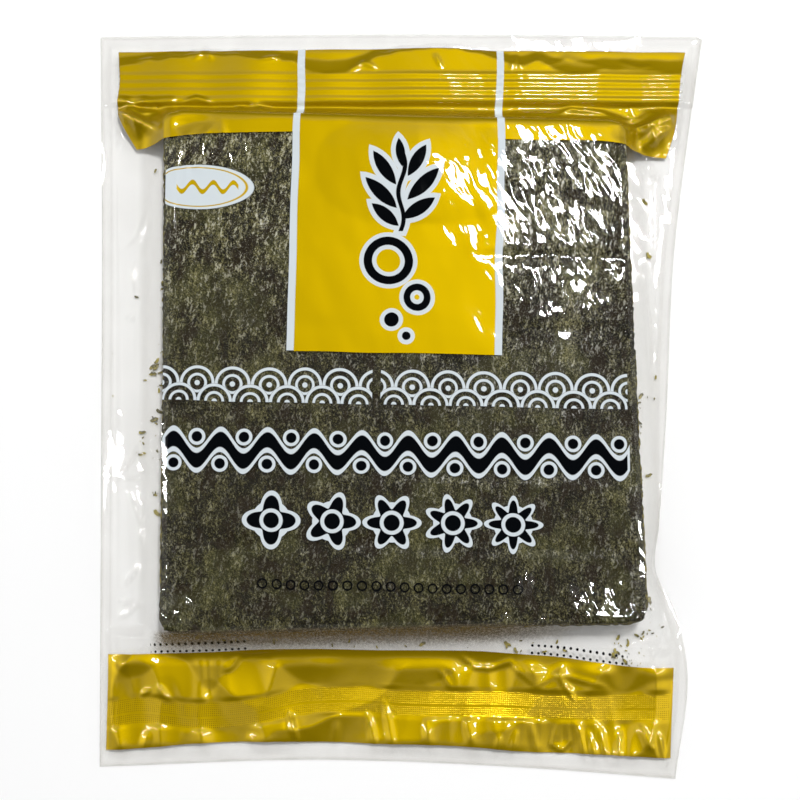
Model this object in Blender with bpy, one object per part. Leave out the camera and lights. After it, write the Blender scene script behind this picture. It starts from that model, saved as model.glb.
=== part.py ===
"""A sealed zip bag of roasted nori sheets, lying on its back with the printed side up.

The bag, its film and the stack inside make one closed solid with the bag's true outer form:
a flat back, a raised plateau over the stack, steep film walls round it, flat film margins,
a ridged zip band at the top, and a buckled heat-seal band at the bottom.
The origin is at the middle of the bag's footprint, on the surface that it lies on.
+X runs across the sheets, +Y towards the zip, and +Z up through the printed side.
All sizes are in millimetres until the mesh is made.
"""

import math

import bpy
import numpy as np

MM = 0.001

# The stack of sheets, as its four corners seen from above. The sheets lie a little askew.
STACK_TOP_LEFT = (-97.1, 112.0)
STACK_TOP_RIGHT = (92.6, 111.6)
STACK_BOTTOM_LEFT = (-89.8, -100.7)
STACK_BOTTOM_RIGHT = (101.6, -92.3)
STACK_CORNER_RADIUS = 7.0
STACK_HEIGHT = 16.5

# The bag's four edges, each as the few points that its shape needs.
# Left and right are (y, x) from the bottom up, bottom and top are (x, y) from left to right.
BAG_LEFT = ((-154.0, -114.2), (-24.0, -119.8), (59.0, -123.4), (148.8, -128.3))
BAG_RIGHT = (
    (-154.2, 115.1),
    (-108.0, 119.7),
    (-88.0, 115.0),
    (-71.0, 106.6),
    (-55.0, 108.6),
    (-19.0, 111.5),
    (64.0, 116.1),
    (113.0, 122.3),
    (154.2, 128.3),
)
BAG_BOTTOM = ((-114.2, -154.0), (-28.0, -149.6), (62.0, -151.3), (115.1, -154.2))
BAG_TOP = ((-128.3, 148.8), (0.0, 152.6), (128.3, 154.2))

# The film where no sheets lie under it.
RIM_THICKNESS = 1.0
MARGIN_HEIGHT = 2.4
RIM_WIDTH = 9.0

# How far out from the stack the film takes to fall from the top sheet to the margin.
WALL_REACH_LEFT = 15.0
WALL_REACH_RIGHT = 12.0
WALL_REACH_BOTTOM = 13.0
WALL_REACH_TOP = 8.0
WALL_STEEPNESS = 2.4

# The top sheet rounds off towards the stack's edges.
EDGE_DROP = 0.9
EDGE_DROP_WIDTH = 7.0

# Shallow cross grooves in the stack, where the sheets are pressed into strips.
GROOVE_SPACING = 29.3
GROOVE_FIRST_Y = -64.4
GROOVE_COUNT = 6
GROOVE_DEPTH = 0.7
GROOVE_HALF_WIDTH = 5.0
GROOVE_FADE = 3.0

# The zip: a raised strip of tracks across the bag, above the stack. Its middle line is (x, y).
ZIP_MIDDLE = ((-122.0, 125.4), (0.0, 128.4), (122.0, 130.4))
ZIP_HALF_WIDTH = 7.0
ZIP_EASE = 2.0
ZIP_HEIGHT = 1.6
ZIP_TRACKS = 4
ZIP_TRACK_HEIGHT = 0.6

# The heat-seal band at the bottom: long buckles, and a flat pressed strip along its middle.
SEAL_BAND_BOTTOM_Y = -146.0
SEAL_BAND_TOP_Y = -104.0
SEAL_BAND_EASE = 9.0
SEAL_STRIP_Y = -129.0
SEAL_STRIP_SLOPE = 0.035
SEAL_STRIP_HALF_WIDTH = 5.0
BUCKLE_HEIGHT = 2.6

# The strip of film above the zip ripples from side to side.
TOP_RIPPLE_HEIGHT = 1.1

# Long low folds down the film beside the stack, as x at the top and at the bottom.
LEFT_MARGIN_FOLD = ((-119.0, 100.0), (-103.0, -104.0))
RIGHT_MARGIN_FOLD = ((108.0, 98.0), (106.0, -50.0))
MARGIN_FOLD_HEIGHT = 1.2
MARGIN_FOLD_HALF_WIDTH = 6.0

# Creases of film: from the stack's corners outwards, as start, end, height and half width.
CORNER_CREASES = (
    ((-95.5, 100.5), (-119.5, 114.5), 6.0, 6.0),
    ((94.5, 101.0), (116.0, 118.5), 6.0, 6.0),
    ((-91.0, -98.0), (-108.0, -116.0), 3.0, 7.0),
    ((101.0, -88.0), (114.0, -104.0), 3.0, 7.0),
)

# The mesh: how many strips the margins and the stack take, each way.
LEFT_STRIPS = 9
STACK_STRIPS_ACROSS = 30
RIGHT_STRIPS = 9
BOTTOM_STRIPS = 15
STACK_STRIPS_ALONG = 32
TOP_STRIPS = 18


def smooth_step(low, high, value):
    """0 below low, 1 above high, and a smooth rise between them."""
    t = np.clip((value - low) / (high - low), 0.0, 1.0)
    return t * t * (3.0 - 2.0 * t)


def bump(value, centre, half_width):
    """A round bump of height 1 at the centre, back to 0 at half_width on each side."""
    t = np.clip(np.abs(value - centre) / half_width, 0.0, 1.0)
    return (1.0 - t * t) ** 2


def smooth_curve(points):
    """A function that passes smoothly through the given (position, value) points."""
    positions = np.array([point[0] for point in points])
    values = np.array([point[1] for point in points])
    slopes = np.gradient(values, positions)

    def value_at(position):
        position = np.asarray(position, dtype=float)
        cell = np.clip(np.searchsorted(positions, position) - 1, 0, len(positions) - 2)
        width = positions[cell + 1] - positions[cell]
        t = np.clip((position - positions[cell]) / width, 0.0, 1.0)
        start = (2 * t**3 - 3 * t**2 + 1) * values[cell] + (t**3 - 2 * t**2 + t) * width * slopes[cell]
        end = (-2 * t**3 + 3 * t**2) * values[cell + 1] + (t**3 - t**2) * width * slopes[cell + 1]
        return start + end

    return value_at


def line_through(first, second, along):
    """The straight line through two corners, as x over y (along=1) or y over x (along=0)."""
    across = 1 - along
    slope = (second[across] - first[across]) / (second[along] - first[along])
    return lambda position: first[across] + slope * (position - first[along])


bag_left = smooth_curve(BAG_LEFT)
bag_right = smooth_curve(BAG_RIGHT)
bag_bottom = smooth_curve(BAG_BOTTOM)
bag_top = smooth_curve(BAG_TOP)
zip_middle = smooth_curve(ZIP_MIDDLE)
stack_left = line_through(STACK_BOTTOM_LEFT, STACK_TOP_LEFT, along=1)
stack_right = line_through(STACK_BOTTOM_RIGHT, STACK_TOP_RIGHT, along=1)
stack_bottom = line_through(STACK_BOTTOM_LEFT, STACK_BOTTOM_RIGHT, along=0)
stack_top = line_through(STACK_TOP_LEFT, STACK_TOP_RIGHT, along=0)


def graded(strips, power):
    """Fractions from 0 to 1 that crowd towards 1."""
    return 1.0 - (1.0 - np.linspace(0.0, 1.0, strips + 1)) ** power


def grid_lines(strips, crowd):
    """Positions 0 to 3 over the first margin, the stack and the last margin.

    The margins' lines crowd towards the stack, where the film falls steeply.
    """
    before, middle, after = strips
    first = graded(before, crowd)
    second = 1.0 + np.linspace(0.0, 1.0, middle + 1)[1:]
    third = 3.0 - graded(after, crowd)[::-1][1:]
    return np.concatenate([first, second, third])


def between_lines(position, lines):
    """The value at a position from 0 to 3 between four lines."""
    result = np.zeros_like(position)
    for index in range(3):
        fraction = np.clip(position - index, 0.0, 1.0)
        step = (lines[index + 1] - lines[index]) * fraction
        result = result + step
    return lines[0] + result


def footprint():
    """The grid of points over the bag, which follows both its edges and the stack's."""
    across = grid_lines((LEFT_STRIPS, STACK_STRIPS_ACROSS, RIGHT_STRIPS), 1.5)
    along = grid_lines((BOTTOM_STRIPS, STACK_STRIPS_ALONG, TOP_STRIPS), 1.15)
    s, t = np.meshgrid(across, along)
    x = np.zeros_like(s)
    y = np.zeros_like(t)
    for _ in range(6):
        y = between_lines(t, (bag_bottom(x), stack_bottom(x), stack_top(x), bag_top(x)))
        x = between_lines(s, (bag_left(y), stack_left(y), stack_right(y), bag_right(y)))
    return x, y


def beyond_stack(x, y):
    """How far outside the stack a point lies, as a share of the reach of the film's wall."""
    left = (stack_left(y) - x) / WALL_REACH_LEFT
    right = (x - stack_right(y)) / WALL_REACH_RIGHT
    bottom = (stack_bottom(x) - y) / WALL_REACH_BOTTOM
    top = (y - stack_top(x)) / WALL_REACH_TOP
    across = np.maximum(left, right)
    along = np.maximum(bottom, top)
    corner = STACK_CORNER_RADIUS / WALL_REACH_BOTTOM
    outside = np.hypot(np.maximum(across + corner, 0.0), np.maximum(along + corner, 0.0)) - corner
    return np.maximum(outside, 0.0)


def plateau_height(x, y):
    """The height over the stack: level, rounded off at its edges, with the cross grooves."""
    from_sides = np.minimum(x - stack_left(y), stack_right(y) - x)
    from_ends = np.minimum(y - stack_bottom(x), stack_top(x) - y)
    inside = np.minimum(from_sides, from_ends)
    height = STACK_HEIGHT - EDGE_DROP * smooth_step(EDGE_DROP_WIDTH, 0.0, inside)
    groove_depth = GROOVE_DEPTH * smooth_step(0.0, GROOVE_FADE, inside)
    for index in range(GROOVE_COUNT):
        groove_y = GROOVE_FIRST_Y + index * GROOVE_SPACING
        height = height - groove_depth * bump(y, groove_y, GROOVE_HALF_WIDTH)
    return height


def margin_height(x, y):
    """The height of the film beside the stack, with its long folds, zip and sealed band."""
    rim = np.minimum.reduce([x - bag_left(y), bag_right(y) - x, y - bag_bottom(x), bag_top(x) - y])
    height = RIM_THICKNESS + (MARGIN_HEIGHT - RIM_THICKNESS) * smooth_step(0.0, RIM_WIDTH, rim)

    inner = smooth_step(2.0, RIM_WIDTH, rim)
    from_zip = y - zip_middle(x)
    in_zip = smooth_step(ZIP_HALF_WIDTH + ZIP_EASE, ZIP_HALF_WIDTH, np.abs(from_zip))
    track = np.sin(math.pi * ZIP_TRACKS * (0.5 + 0.5 * from_zip / ZIP_HALF_WIDTH)) ** 2
    height = height + in_zip * inner * (ZIP_HEIGHT + ZIP_TRACK_HEIGHT * track)

    in_band = smooth_step(SEAL_BAND_BOTTOM_Y, SEAL_BAND_BOTTOM_Y + SEAL_BAND_EASE, y)
    in_band = in_band * smooth_step(SEAL_BAND_TOP_Y, SEAL_BAND_TOP_Y - SEAL_BAND_EASE, y)
    pressed = 1.0 - 0.6 * bump(y, SEAL_STRIP_Y + SEAL_STRIP_SLOPE * x, SEAL_STRIP_HALF_WIDTH)
    buckle = 0.5 + 0.5 * np.sin(x / 9.5 + 0.09 * y) * np.sin(x / 23.0 - 0.05 * y + 1.2)
    height = height + in_band * inner * pressed * BUCKLE_HEIGHT * buckle

    top_strip = smooth_step(ZIP_HALF_WIDTH, ZIP_HALF_WIDTH + ZIP_EASE, from_zip) * inner
    height = height + top_strip * TOP_RIPPLE_HEIGHT * (0.5 + 0.5 * np.sin(x / 12.0))

    for start, end in (LEFT_MARGIN_FOLD, RIGHT_MARGIN_FOLD):
        long_fold = crease(x, y, start, end, MARGIN_FOLD_HEIGHT, MARGIN_FOLD_HALF_WIDTH)
        height = height + long_fold * inner
    return height


def crease(x, y, start, end, height, half_width):
    """A straight crease of film from start to end, which runs out at both ends."""
    run = (end[0] - start[0], end[1] - start[1])
    length = math.hypot(*run)
    along = ((x - start[0]) * run[0] + (y - start[1]) * run[1]) / length
    aside = ((x - start[0]) * run[1] - (y - start[1]) * run[0]) / length
    taper = smooth_step(-half_width, half_width, along) * smooth_step(length, length * 0.6, along)
    return height * taper * bump(aside, 0.0, half_width)


def corner_creases(x, y):
    """The pinched folds that run out from the stack's four corners."""
    return sum(crease(x, y, *values) for values in CORNER_CREASES)


def top_height(x, y):
    """The height of the bag's printed side over each point."""
    share = np.clip(beyond_stack(x, y), 0.0, 1.0)
    margin = margin_height(x, y) + corner_creases(x, y) * share
    return margin + np.maximum(plateau_height(x, y) - margin, 0.0) * (1.0 - share) ** WALL_STEEPNESS


def shell_faces(rows, columns, ring):
    """Faces of the top grid, the thin rim below its edge, and the flat back."""
    faces = []
    for row in range(rows - 1):
        for column in range(columns - 1):
            corner = row * columns + column
            faces.append((corner, corner + 1, corner + columns + 1, corner + columns))
    count = rows * columns
    for index, point in enumerate(ring):
        following = (index + 1) % len(ring)
        faces.append((point, count + index, count + following, ring[following]))
    faces.append(tuple(count + index for index in reversed(range(len(ring)))))
    return faces


def edge_ring(rows, columns):
    """The grid's outer points in order, anticlockwise from the bottom left."""
    bottom = [column for column in range(columns)]
    right = [row * columns + columns - 1 for row in range(1, rows)]
    top = [(rows - 1) * columns + column for column in reversed(range(columns - 1))]
    left = [row * columns for row in reversed(range(1, rows - 1))]
    return bottom + right + top + left


def nori_film_material():
    """Clear film over dark green nori, as one plain finish."""
    material = bpy.data.materials.new("bagged_nori")
    material.use_nodes = True
    shader = material.node_tree.nodes["Principled BSDF"]
    shader.inputs["Base Color"].default_value = (0.085, 0.08, 0.05, 1.0)
    shader.inputs["Roughness"].default_value = 0.25
    shader.inputs["Metallic"].default_value = 0.0
    return material


def make_sealed_bag():
    x, y = footprint()
    z = top_height(x, y)
    rows, columns = x.shape
    points = np.stack([x.ravel(), y.ravel(), z.ravel()], axis=1)
    ring = edge_ring(rows, columns)
    back = points[ring] * (1.0, 1.0, 0.0)
    vertices = np.concatenate([points, back]) * MM
    mesh = bpy.data.meshes.new("sealed_bag")
    mesh.from_pydata(vertices.tolist(), [], shell_faces(rows, columns, ring))
    mesh.materials.append(nori_film_material())
    mesh.shade_smooth()
    mesh.set_sharp_from_angle(angle=math.radians(40.0))
    bag = bpy.data.objects.new("sealed_bag", mesh)
    bpy.context.scene.collection.objects.link(bag)
    return bag


def main():
    for old in list(bpy.data.objects):
        bpy.data.objects.remove(old, do_unlink=True)
    make_sealed_bag()


main()
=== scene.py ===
# %% [markdown]
# # A sealed zip bag of roasted nori
#
# A clear film bag lies on its back. Inside is a stack of thin, dark green sheets of pressed seaweed.
# The film carries gold, white and black ink, and it is glossy, so most of what the eye sees is either
# ink, nori seen through the film, or light that the film's folds throw back.
#
# The lesson goes from form to finish: the bag's outline, the film's height over every point, the
# stack inside, the small things (zip, sealed dots, crumbs), then the shaders, the light and the camera.

import math

import bpy
import numpy as np
from mathutils import Matrix, Vector


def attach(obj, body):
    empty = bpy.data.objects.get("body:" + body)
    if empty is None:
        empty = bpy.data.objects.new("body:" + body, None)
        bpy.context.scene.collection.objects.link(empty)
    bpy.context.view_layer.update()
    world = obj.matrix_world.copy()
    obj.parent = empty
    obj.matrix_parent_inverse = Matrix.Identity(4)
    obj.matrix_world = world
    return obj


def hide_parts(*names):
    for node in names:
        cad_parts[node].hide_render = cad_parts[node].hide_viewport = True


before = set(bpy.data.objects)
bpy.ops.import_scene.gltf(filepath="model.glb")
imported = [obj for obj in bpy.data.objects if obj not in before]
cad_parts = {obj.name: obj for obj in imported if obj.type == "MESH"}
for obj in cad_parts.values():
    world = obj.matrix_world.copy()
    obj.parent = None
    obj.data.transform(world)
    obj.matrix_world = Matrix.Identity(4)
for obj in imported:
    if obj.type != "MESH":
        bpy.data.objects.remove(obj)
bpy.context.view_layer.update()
MM = 0.001

# %% [markdown]
# ## Small helpers for shapes
#
# A smooth step eases from 0 to 1, a bump rises and falls, and a smooth curve passes through a few named
# points. Together they describe film without a single traced outline.

# %% Smooth steps, bumps and curves


def smooth_step(low, high, value):
    t = np.clip((value - low) / (high - low), 0.0, 1.0)
    return t * t * (3.0 - 2.0 * t)


def bump(value, centre, half_width):
    t = np.clip(np.abs(value - centre) / half_width, 0.0, 1.0)
    return (1.0 - t * t) ** 2


def smooth_curve(points):
    positions = np.array([point[0] for point in points])
    values = np.array([point[1] for point in points])
    slopes = np.gradient(values, positions)

    def value_at(position):
        position = np.asarray(position, dtype=float)
        cell = np.clip(np.searchsorted(positions, position) - 1, 0, len(positions) - 2)
        width = positions[cell + 1] - positions[cell]
        t = np.clip((position - positions[cell]) / width, 0.0, 1.0)
        start = (2 * t**3 - 3 * t**2 + 1) * values[cell] + (t**3 - 2 * t**2 + t) * width * slopes[cell]
        end = (-2 * t**3 + 3 * t**2) * values[cell + 1] + (t**3 - t**2) * width * slopes[cell + 1]
        return start + end

    return value_at


def line_through(first, second, along):
    across = 1 - along
    slope = (second[across] - first[across]) / (second[along] - first[along])
    return lambda position: first[across] + slope * (position - first[along])


def sine(degrees):
    return math.sin(math.radians(degrees))


def cosine(degrees):
    return math.cos(math.radians(degrees))


# %% [markdown]
# Real film and real seaweed are never regular. This helper adds up a few dozen long and short waves that
# run in random directions. The sum has no grid in it, so reflections flow over it without kinks. The
# seed keeps every run the same.

# %% Random waves


def rough_field(x, y, size, seed, stretch=1.0, turn=0.0):
    """Random hills of about -1 to 1, some size millimetres wide, longer in one direction when stretched."""
    random = np.random.default_rng(seed)
    across = (x * cosine(turn) + y * sine(turn)) / size
    along = (y * cosine(turn) - x * sine(turn)) / (size * stretch)
    total = np.zeros_like(x)
    waves = 26
    for _ in range(waves):
        heading = random.uniform(0.0, 2.0 * math.pi)
        frequency = random.uniform(1.6, 4.2)
        phase = random.uniform(0.0, 2.0 * math.pi)
        total = total + np.sin(frequency * (across * math.cos(heading) + along * math.sin(heading)) + phase)
    return total * (0.9 / math.sqrt(waves))


# %% [markdown]
# Three helpers are for meshes: one puts a mesh into the scene as an object, one lists the faces of a grid
# of points, and one keeps a number on every point, where a material can read it.

# %% Mesh helpers


def link(name, mesh):
    item = bpy.data.objects.new(name, mesh)
    bpy.context.scene.collection.objects.link(item)
    return item


def grid_faces(grid):
    """The four-sided faces of a grid of point numbers, facing up."""
    corners = (grid[:-1, :-1], grid[:-1, 1:], grid[1:, 1:], grid[1:, :-1])
    return np.stack([corner.ravel() for corner in corners], axis=1).tolist()


def keep_on_points(mesh, name, values):
    layer = mesh.attributes.new(name, "FLOAT", "POINT")
    layer.data.foreach_set("value", values.astype(np.float32))


# %% [markdown]
# ## The bag seen from above
#
# All lengths are millimetres, with the origin in the middle of the bag. The sheets are about 190 by
# 210 mm and lie a little askew. The bag is wider at the zip than at the sealed end, where the heat
# gathered the film, and its right side is nipped in near the bottom.

# %% Named sizes of the stack and the bag

STACK_TOP_LEFT = (-97.1, 112.0)
STACK_TOP_RIGHT = (92.6, 111.6)
STACK_BOTTOM_LEFT = (-89.8, -100.7)
STACK_BOTTOM_RIGHT = (101.6, -92.3)
STACK_CORNER_RADIUS = 7.0
FILM_TOP = 16.5

BAG_LEFT = ((-154.0, -114.2), (-24.0, -119.8), (59.0, -123.4), (148.8, -128.3))
BAG_RIGHT = (
    (-154.2, 115.1), (-108.0, 119.7), (-88.0, 115.0), (-71.0, 106.6), (-55.0, 108.6), (-19.0, 111.5),
    (64.0, 116.1), (113.0, 122.3), (154.2, 128.3),
)
BAG_BOTTOM = ((-114.2, -154.0), (-28.0, -149.6), (62.0, -151.3), (115.1, -154.2))
BAG_TOP = ((-128.3, 148.8), (0.0, 152.6), (128.3, 154.2))
ZIP_MIDDLE = ((-122.0, 125.4), (0.0, 128.4), (122.0, 130.4))

bag_left = smooth_curve(BAG_LEFT)
bag_right = smooth_curve(BAG_RIGHT)
bag_bottom = smooth_curve(BAG_BOTTOM)
bag_top = smooth_curve(BAG_TOP)
zip_middle = smooth_curve(ZIP_MIDDLE)
stack_left = line_through(STACK_BOTTOM_LEFT, STACK_TOP_LEFT, along=1)
stack_right = line_through(STACK_BOTTOM_RIGHT, STACK_TOP_RIGHT, along=1)
stack_bottom = line_through(STACK_BOTTOM_LEFT, STACK_BOTTOM_RIGHT, along=0)
stack_top = line_through(STACK_TOP_LEFT, STACK_TOP_RIGHT, along=0)


def from_rim(x, y):
    """How far inside the bag's cut edge a point lies."""
    return np.minimum.reduce([x - bag_left(y), bag_right(y) - x, y - bag_bottom(x), bag_top(x) - y])


def inside_stack(x, y):
    """How far inside the sheets' edge a point lies, negative outside."""
    from_sides = np.minimum(x - stack_left(y), stack_right(y) - x)
    from_ends = np.minimum(y - stack_bottom(x), stack_top(x) - y)
    return np.minimum(from_sides, from_ends)


# %% [markdown]
# ## The height of the film
#
# Film is stiff to stretch and easy to bend, so it falls steeply from the top sheet, meets the film of
# the back in the margins, and throws creases outwards from each corner of the stack. Each of these
# forms is one rule with a few named sizes, and the finer folds are added to them later.

# %% The film's main form

RIM_THICKNESS = 1.0
MARGIN_HEIGHT = 2.4
RIM_WIDTH = 9.0
WALL_REACH_LEFT = 15.0
WALL_REACH_RIGHT = 12.0
WALL_REACH_BOTTOM = 13.0
WALL_REACH_TOP = 8.0
WALL_STEEPNESS = 2.4
EDGE_DROP = 0.9
EDGE_DROP_WIDTH = 7.0
GROOVE_SPACING = 29.3
GROOVE_FIRST_Y = -64.4
GROOVE_COUNT = 6
GROOVE_DEPTH = 0.7
GROOVE_HALF_WIDTH = 5.0
GROOVES_BEGIN_INSIDE = 3.0
ZIP_HALF_WIDTH = 7.0
ZIP_EASE = 1.2
ZIP_TRACKS = 4
ZIP_TRACK_HEIGHT = 0.6
SOFT_EDGE_DROP = 0.6
SOFT_EDGE_WIDTH = 2.4
EDGE_ROLL = 0.26
EDGE_ROLL_WIDTH = 1.7


def beyond_stack(x, y):
    left = (stack_left(y) - x) / WALL_REACH_LEFT
    right = (x - stack_right(y)) / WALL_REACH_RIGHT
    bottom = (stack_bottom(x) - y) / WALL_REACH_BOTTOM
    top = (y - stack_top(x)) / WALL_REACH_TOP
    across = np.maximum(left, right)
    along = np.maximum(bottom, top)
    corner = STACK_CORNER_RADIUS / WALL_REACH_BOTTOM
    outside = np.hypot(np.maximum(across + corner, 0.0), np.maximum(along + corner, 0.0)) - corner
    return np.maximum(outside, 0.0)


def groove_depth(x, y):
    """The drying mat's cross grooves wander a little and are deeper in some places than in others."""
    depth = np.zeros_like(y)
    for index in range(GROOVE_COUNT):
        middle = GROOVE_FIRST_Y + index * GROOVE_SPACING + 0.9 * rough_field(x, 0.0 * y, 16.0, 80 + index)
        strength = 0.6 + 0.4 * rough_field(x, 0.0 * y, 12.0, 90 + index)
        depth = depth + GROOVE_DEPTH * strength * bump(y, middle, GROOVE_HALF_WIDTH)
    return depth


# %% [markdown]
# A fold in film is a ridge with a keen crest, and it fades where it ends. So each crease is a path, a
# height and a half width, and its profile depends only on the distance from that path. The corner
# creases are the big ones: they pinch the film into two flat ears beside the stack.

# %% Creases


def crease(x, y, path, height, half_width, keenness=1.3):
    """A ridge along a path that thins out towards both of its ends. A keenness of 1 gives it flat flanks."""
    lengths = [math.dist(start, end) for start, end in zip(path, path[1:])]
    distance = np.full_like(x, 1000.0)
    travelled = np.zeros_like(x)
    before = 0.0
    for start, end, length in zip(path, path[1:], lengths):
        run_x, run_y = end[0] - start[0], end[1] - start[1]
        share = np.clip(((x - start[0]) * run_x + (y - start[1]) * run_y) / length**2, 0.0, 1.0)
        away = np.hypot(x - start[0] - share * run_x, y - start[1] - share * run_y)
        travelled = np.where(away < distance, before + share * length, travelled)
        distance = np.minimum(distance, away)
        before += length
    from_middle = np.abs(2.0 * travelled / before - 1.0)
    taper = 1.0 - 0.85 * from_middle**3
    return height * taper * np.clip(1.0 - distance / (half_width * (0.4 + 0.6 * taper)), 0.0, 1.0) ** keenness


def creases(x, y, several):
    return sum(crease(x, y, *one) for one in several)


CORNER_CREASES = (
    (((-95.5, 100.5), (-119.5, 114.5)), 6.0, 9.0),
    (((94.5, 101.0), (116.0, 118.5)), 6.0, 9.0),
    (((-91.0, -98.0), (-108.0, -116.0)), 3.0, 9.0),
    (((101.0, -88.0), (114.0, -104.0)), 3.0, 9.0),
)
EAR_CREASES = (
    (((-117.5, 116.0), (-111.2, 112.0), (-104.7, 108.6), (-96.5, 102.8)), 0.7, 1.3),
    (((-116.5, 119.5), (-112.5, 118.2), (-108.5, 119.0), (-103.0, 117.0)), 0.7, 1.3),
    (((-113.0, 119.0), (-111.0, 114.5)), 0.6, 1.2),
    (((-96.5, 104.0), (-92.5, 110.0), (-86.0, 113.3), (-77.0, 113.0)), 0.7, 1.4),
    (((-72.0, 104.5), (-77.5, 107.5), (-84.0, 109.0)), 0.6, 1.4),
    (((-91.0, 119.5), (-85.5, 121.5), (-78.0, 118.5)), 0.8, 2.0),
    (((97.5, 111.6), (103.5, 112.6), (108.5, 115.6), (110.5, 117.0)), 0.7, 1.3),
    (((110.5, 117.0), (113.5, 112.0), (109.5, 108.5), (107.5, 112.5), (110.5, 117.0)), 0.6, 1.2),
    (((94.2, 101.0), (98.0, 112.0)), 0.7, 1.3),
    (((89.5, 115.5), (97.0, 111.0)), 0.6, 1.3),
    (((-119.2, 115.1), (-111.2, 111.2), (-104.7, 107.8), (-96.2, 102.2)), 2.6, 3.4),
    (((-115.5, 117.5), (-108.0, 114.2), (-101.0, 115.5)), 1.6, 3.0),
    (((-111.2, 111.2), (-108.5, 103.5)), 1.2, 2.2),
    (((-103.0, 118.5), (-98.5, 110.5), (-94.3, 106.5)), -1.8, 3.2),
    (((-63.2, 119.4), (-52.5, 115.6)), 1.8, 2.4),
    (((-69.4, 118.4), (-57.0, 114.8)), 1.5, 2.0),
    (((42.3, 117.3), (67.1, 118.0), (72.1, 120.3), (83.9, 119.2), (94.4, 116.0), (100.7, 116.5)), 1.6, 2.2),
    (((98.6, 113.2), (95.6, 102.0)), 2.0, 2.6),
    (((96.6, 111.6), (104.0, 113.0), (109.1, 115.4), (112.2, 117.8), (115.0, 112.3)), 2.4, 3.0),
    (((101.0, 103.0), (106.0, 106.0), (112.0, 112.0)), 1.6, 2.6),
    (((104.0, 113.0), (107.5, 104.0)), 1.2, 2.0),
)
LEFT_CREASES = (
    (((-119.0, 100.0), (-103.0, -104.0)), 1.2, 8.0),
    (((-98.9, 94.4), (-102.7, 75.0), (-107.1, 62.1), (-113.9, 56.8)), 1.1, 2.4),
    (((-109.5, 51.4), (-108.9, 36.6)), 0.9, 2.4),
    (((-100.5, 53.7), (-99.6, 32.6)), 1.4, 3.2),
    (((-101.3, 24.2), (-99.8, 9.6)), 1.3, 3.0),
    (((-111.5, 27.5), (-107.8, 26.6)), 0.8, 2.2),
    (((-111.5, -40.0), (-104.4, -26.8), (-94.6, -37.6), (-111.5, -40.0)), 1.0, 1.9),
    (((-107.3, -43.9), (-101.0, -56.8), (-95.2, -41.7)), 1.0, 1.8),
    (((-100.5, -60.0), (-100.2, -66.0)), 0.8, 1.6),
    (((-101.0, -75.3), (-106.8, -82.2)), 0.9, 1.8),
    (((-109.3, -88.2), (-101.0, -90.0), (-92.6, -83.9)), 0.9, 1.8),
    (((-109.0, -96.1), (-98.0, -88.0)), 0.8, 1.6),
    (((-96.0, -79.2), (-93.4, -84.7)), 0.7, 1.5),
)
RIGHT_CREASES = (
    (((108.0, 98.0), (106.0, -50.0)), 1.2, 8.0),
    (((96.4, 102.8), (106.0, 95.6), (109.3, 88.8)), 1.1, 2.0),
    (((96.8, 98.5), (104.0, 94.0), (110.0, 91.0)), 0.9, 1.8),
    (((97.2, 87.7), (100.5, 77.0), (103.8, 72.0)), 0.9, 1.8),
    (((97.6, 59.9), (100.9, 49.4), (104.1, 30.5), (104.9, 7.5)), 1.2, 1.8),
    (((105.9, 60.1), (107.1, 55.0), (109.1, 43.2)), 0.8, 1.8),
    (((100.8, 17.9), (102.8, 5.4)), 0.9, 1.6),
    (((111.5, 103.1), (122.0, 107.7)), 0.9, 2.4),
    (((100.6, -68.0), (105.4, -77.9), (110.6, -88.6), (113.4, -97.7)), 1.4, 2.0),
    (((100.6, -84.0), (106.6, -89.9)), 0.9, 1.6),
    (((104.5, -99.8), (105.2, -106.0), (111.0, -95.0)), 1.0, 1.7),
)
TOP_CREASES = (
    (((-87.5, 138.5), (-83.0, 144.5), (-80.0, 138.5)), 0.7, 1.8),
    (((-113.0, 137.5), (-104.0, 139.0)), 0.5, 1.4),
    (((-60.0, 139.0), (-50.0, 141.0)), 0.5, 1.6),
    (((46.5, 136.5), (48.5, 142.5), (51.0, 137.0)), 0.7, 1.4),
    (((14.0, 143.0), (17.5, 136.8)), 0.5, 1.3),
    (((-22.0, 134.8), (-16.0, 139.0), (-10.0, 136.0)), 0.6, 1.8),
    (((60.0, 138.5), (70.0, 142.5), (84.0, 139.5)), 0.35, 2.6),
    (((92.0, 141.5), (101.0, 139.0), (106.0, 140.0)), 0.35, 2.2),
)
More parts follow.
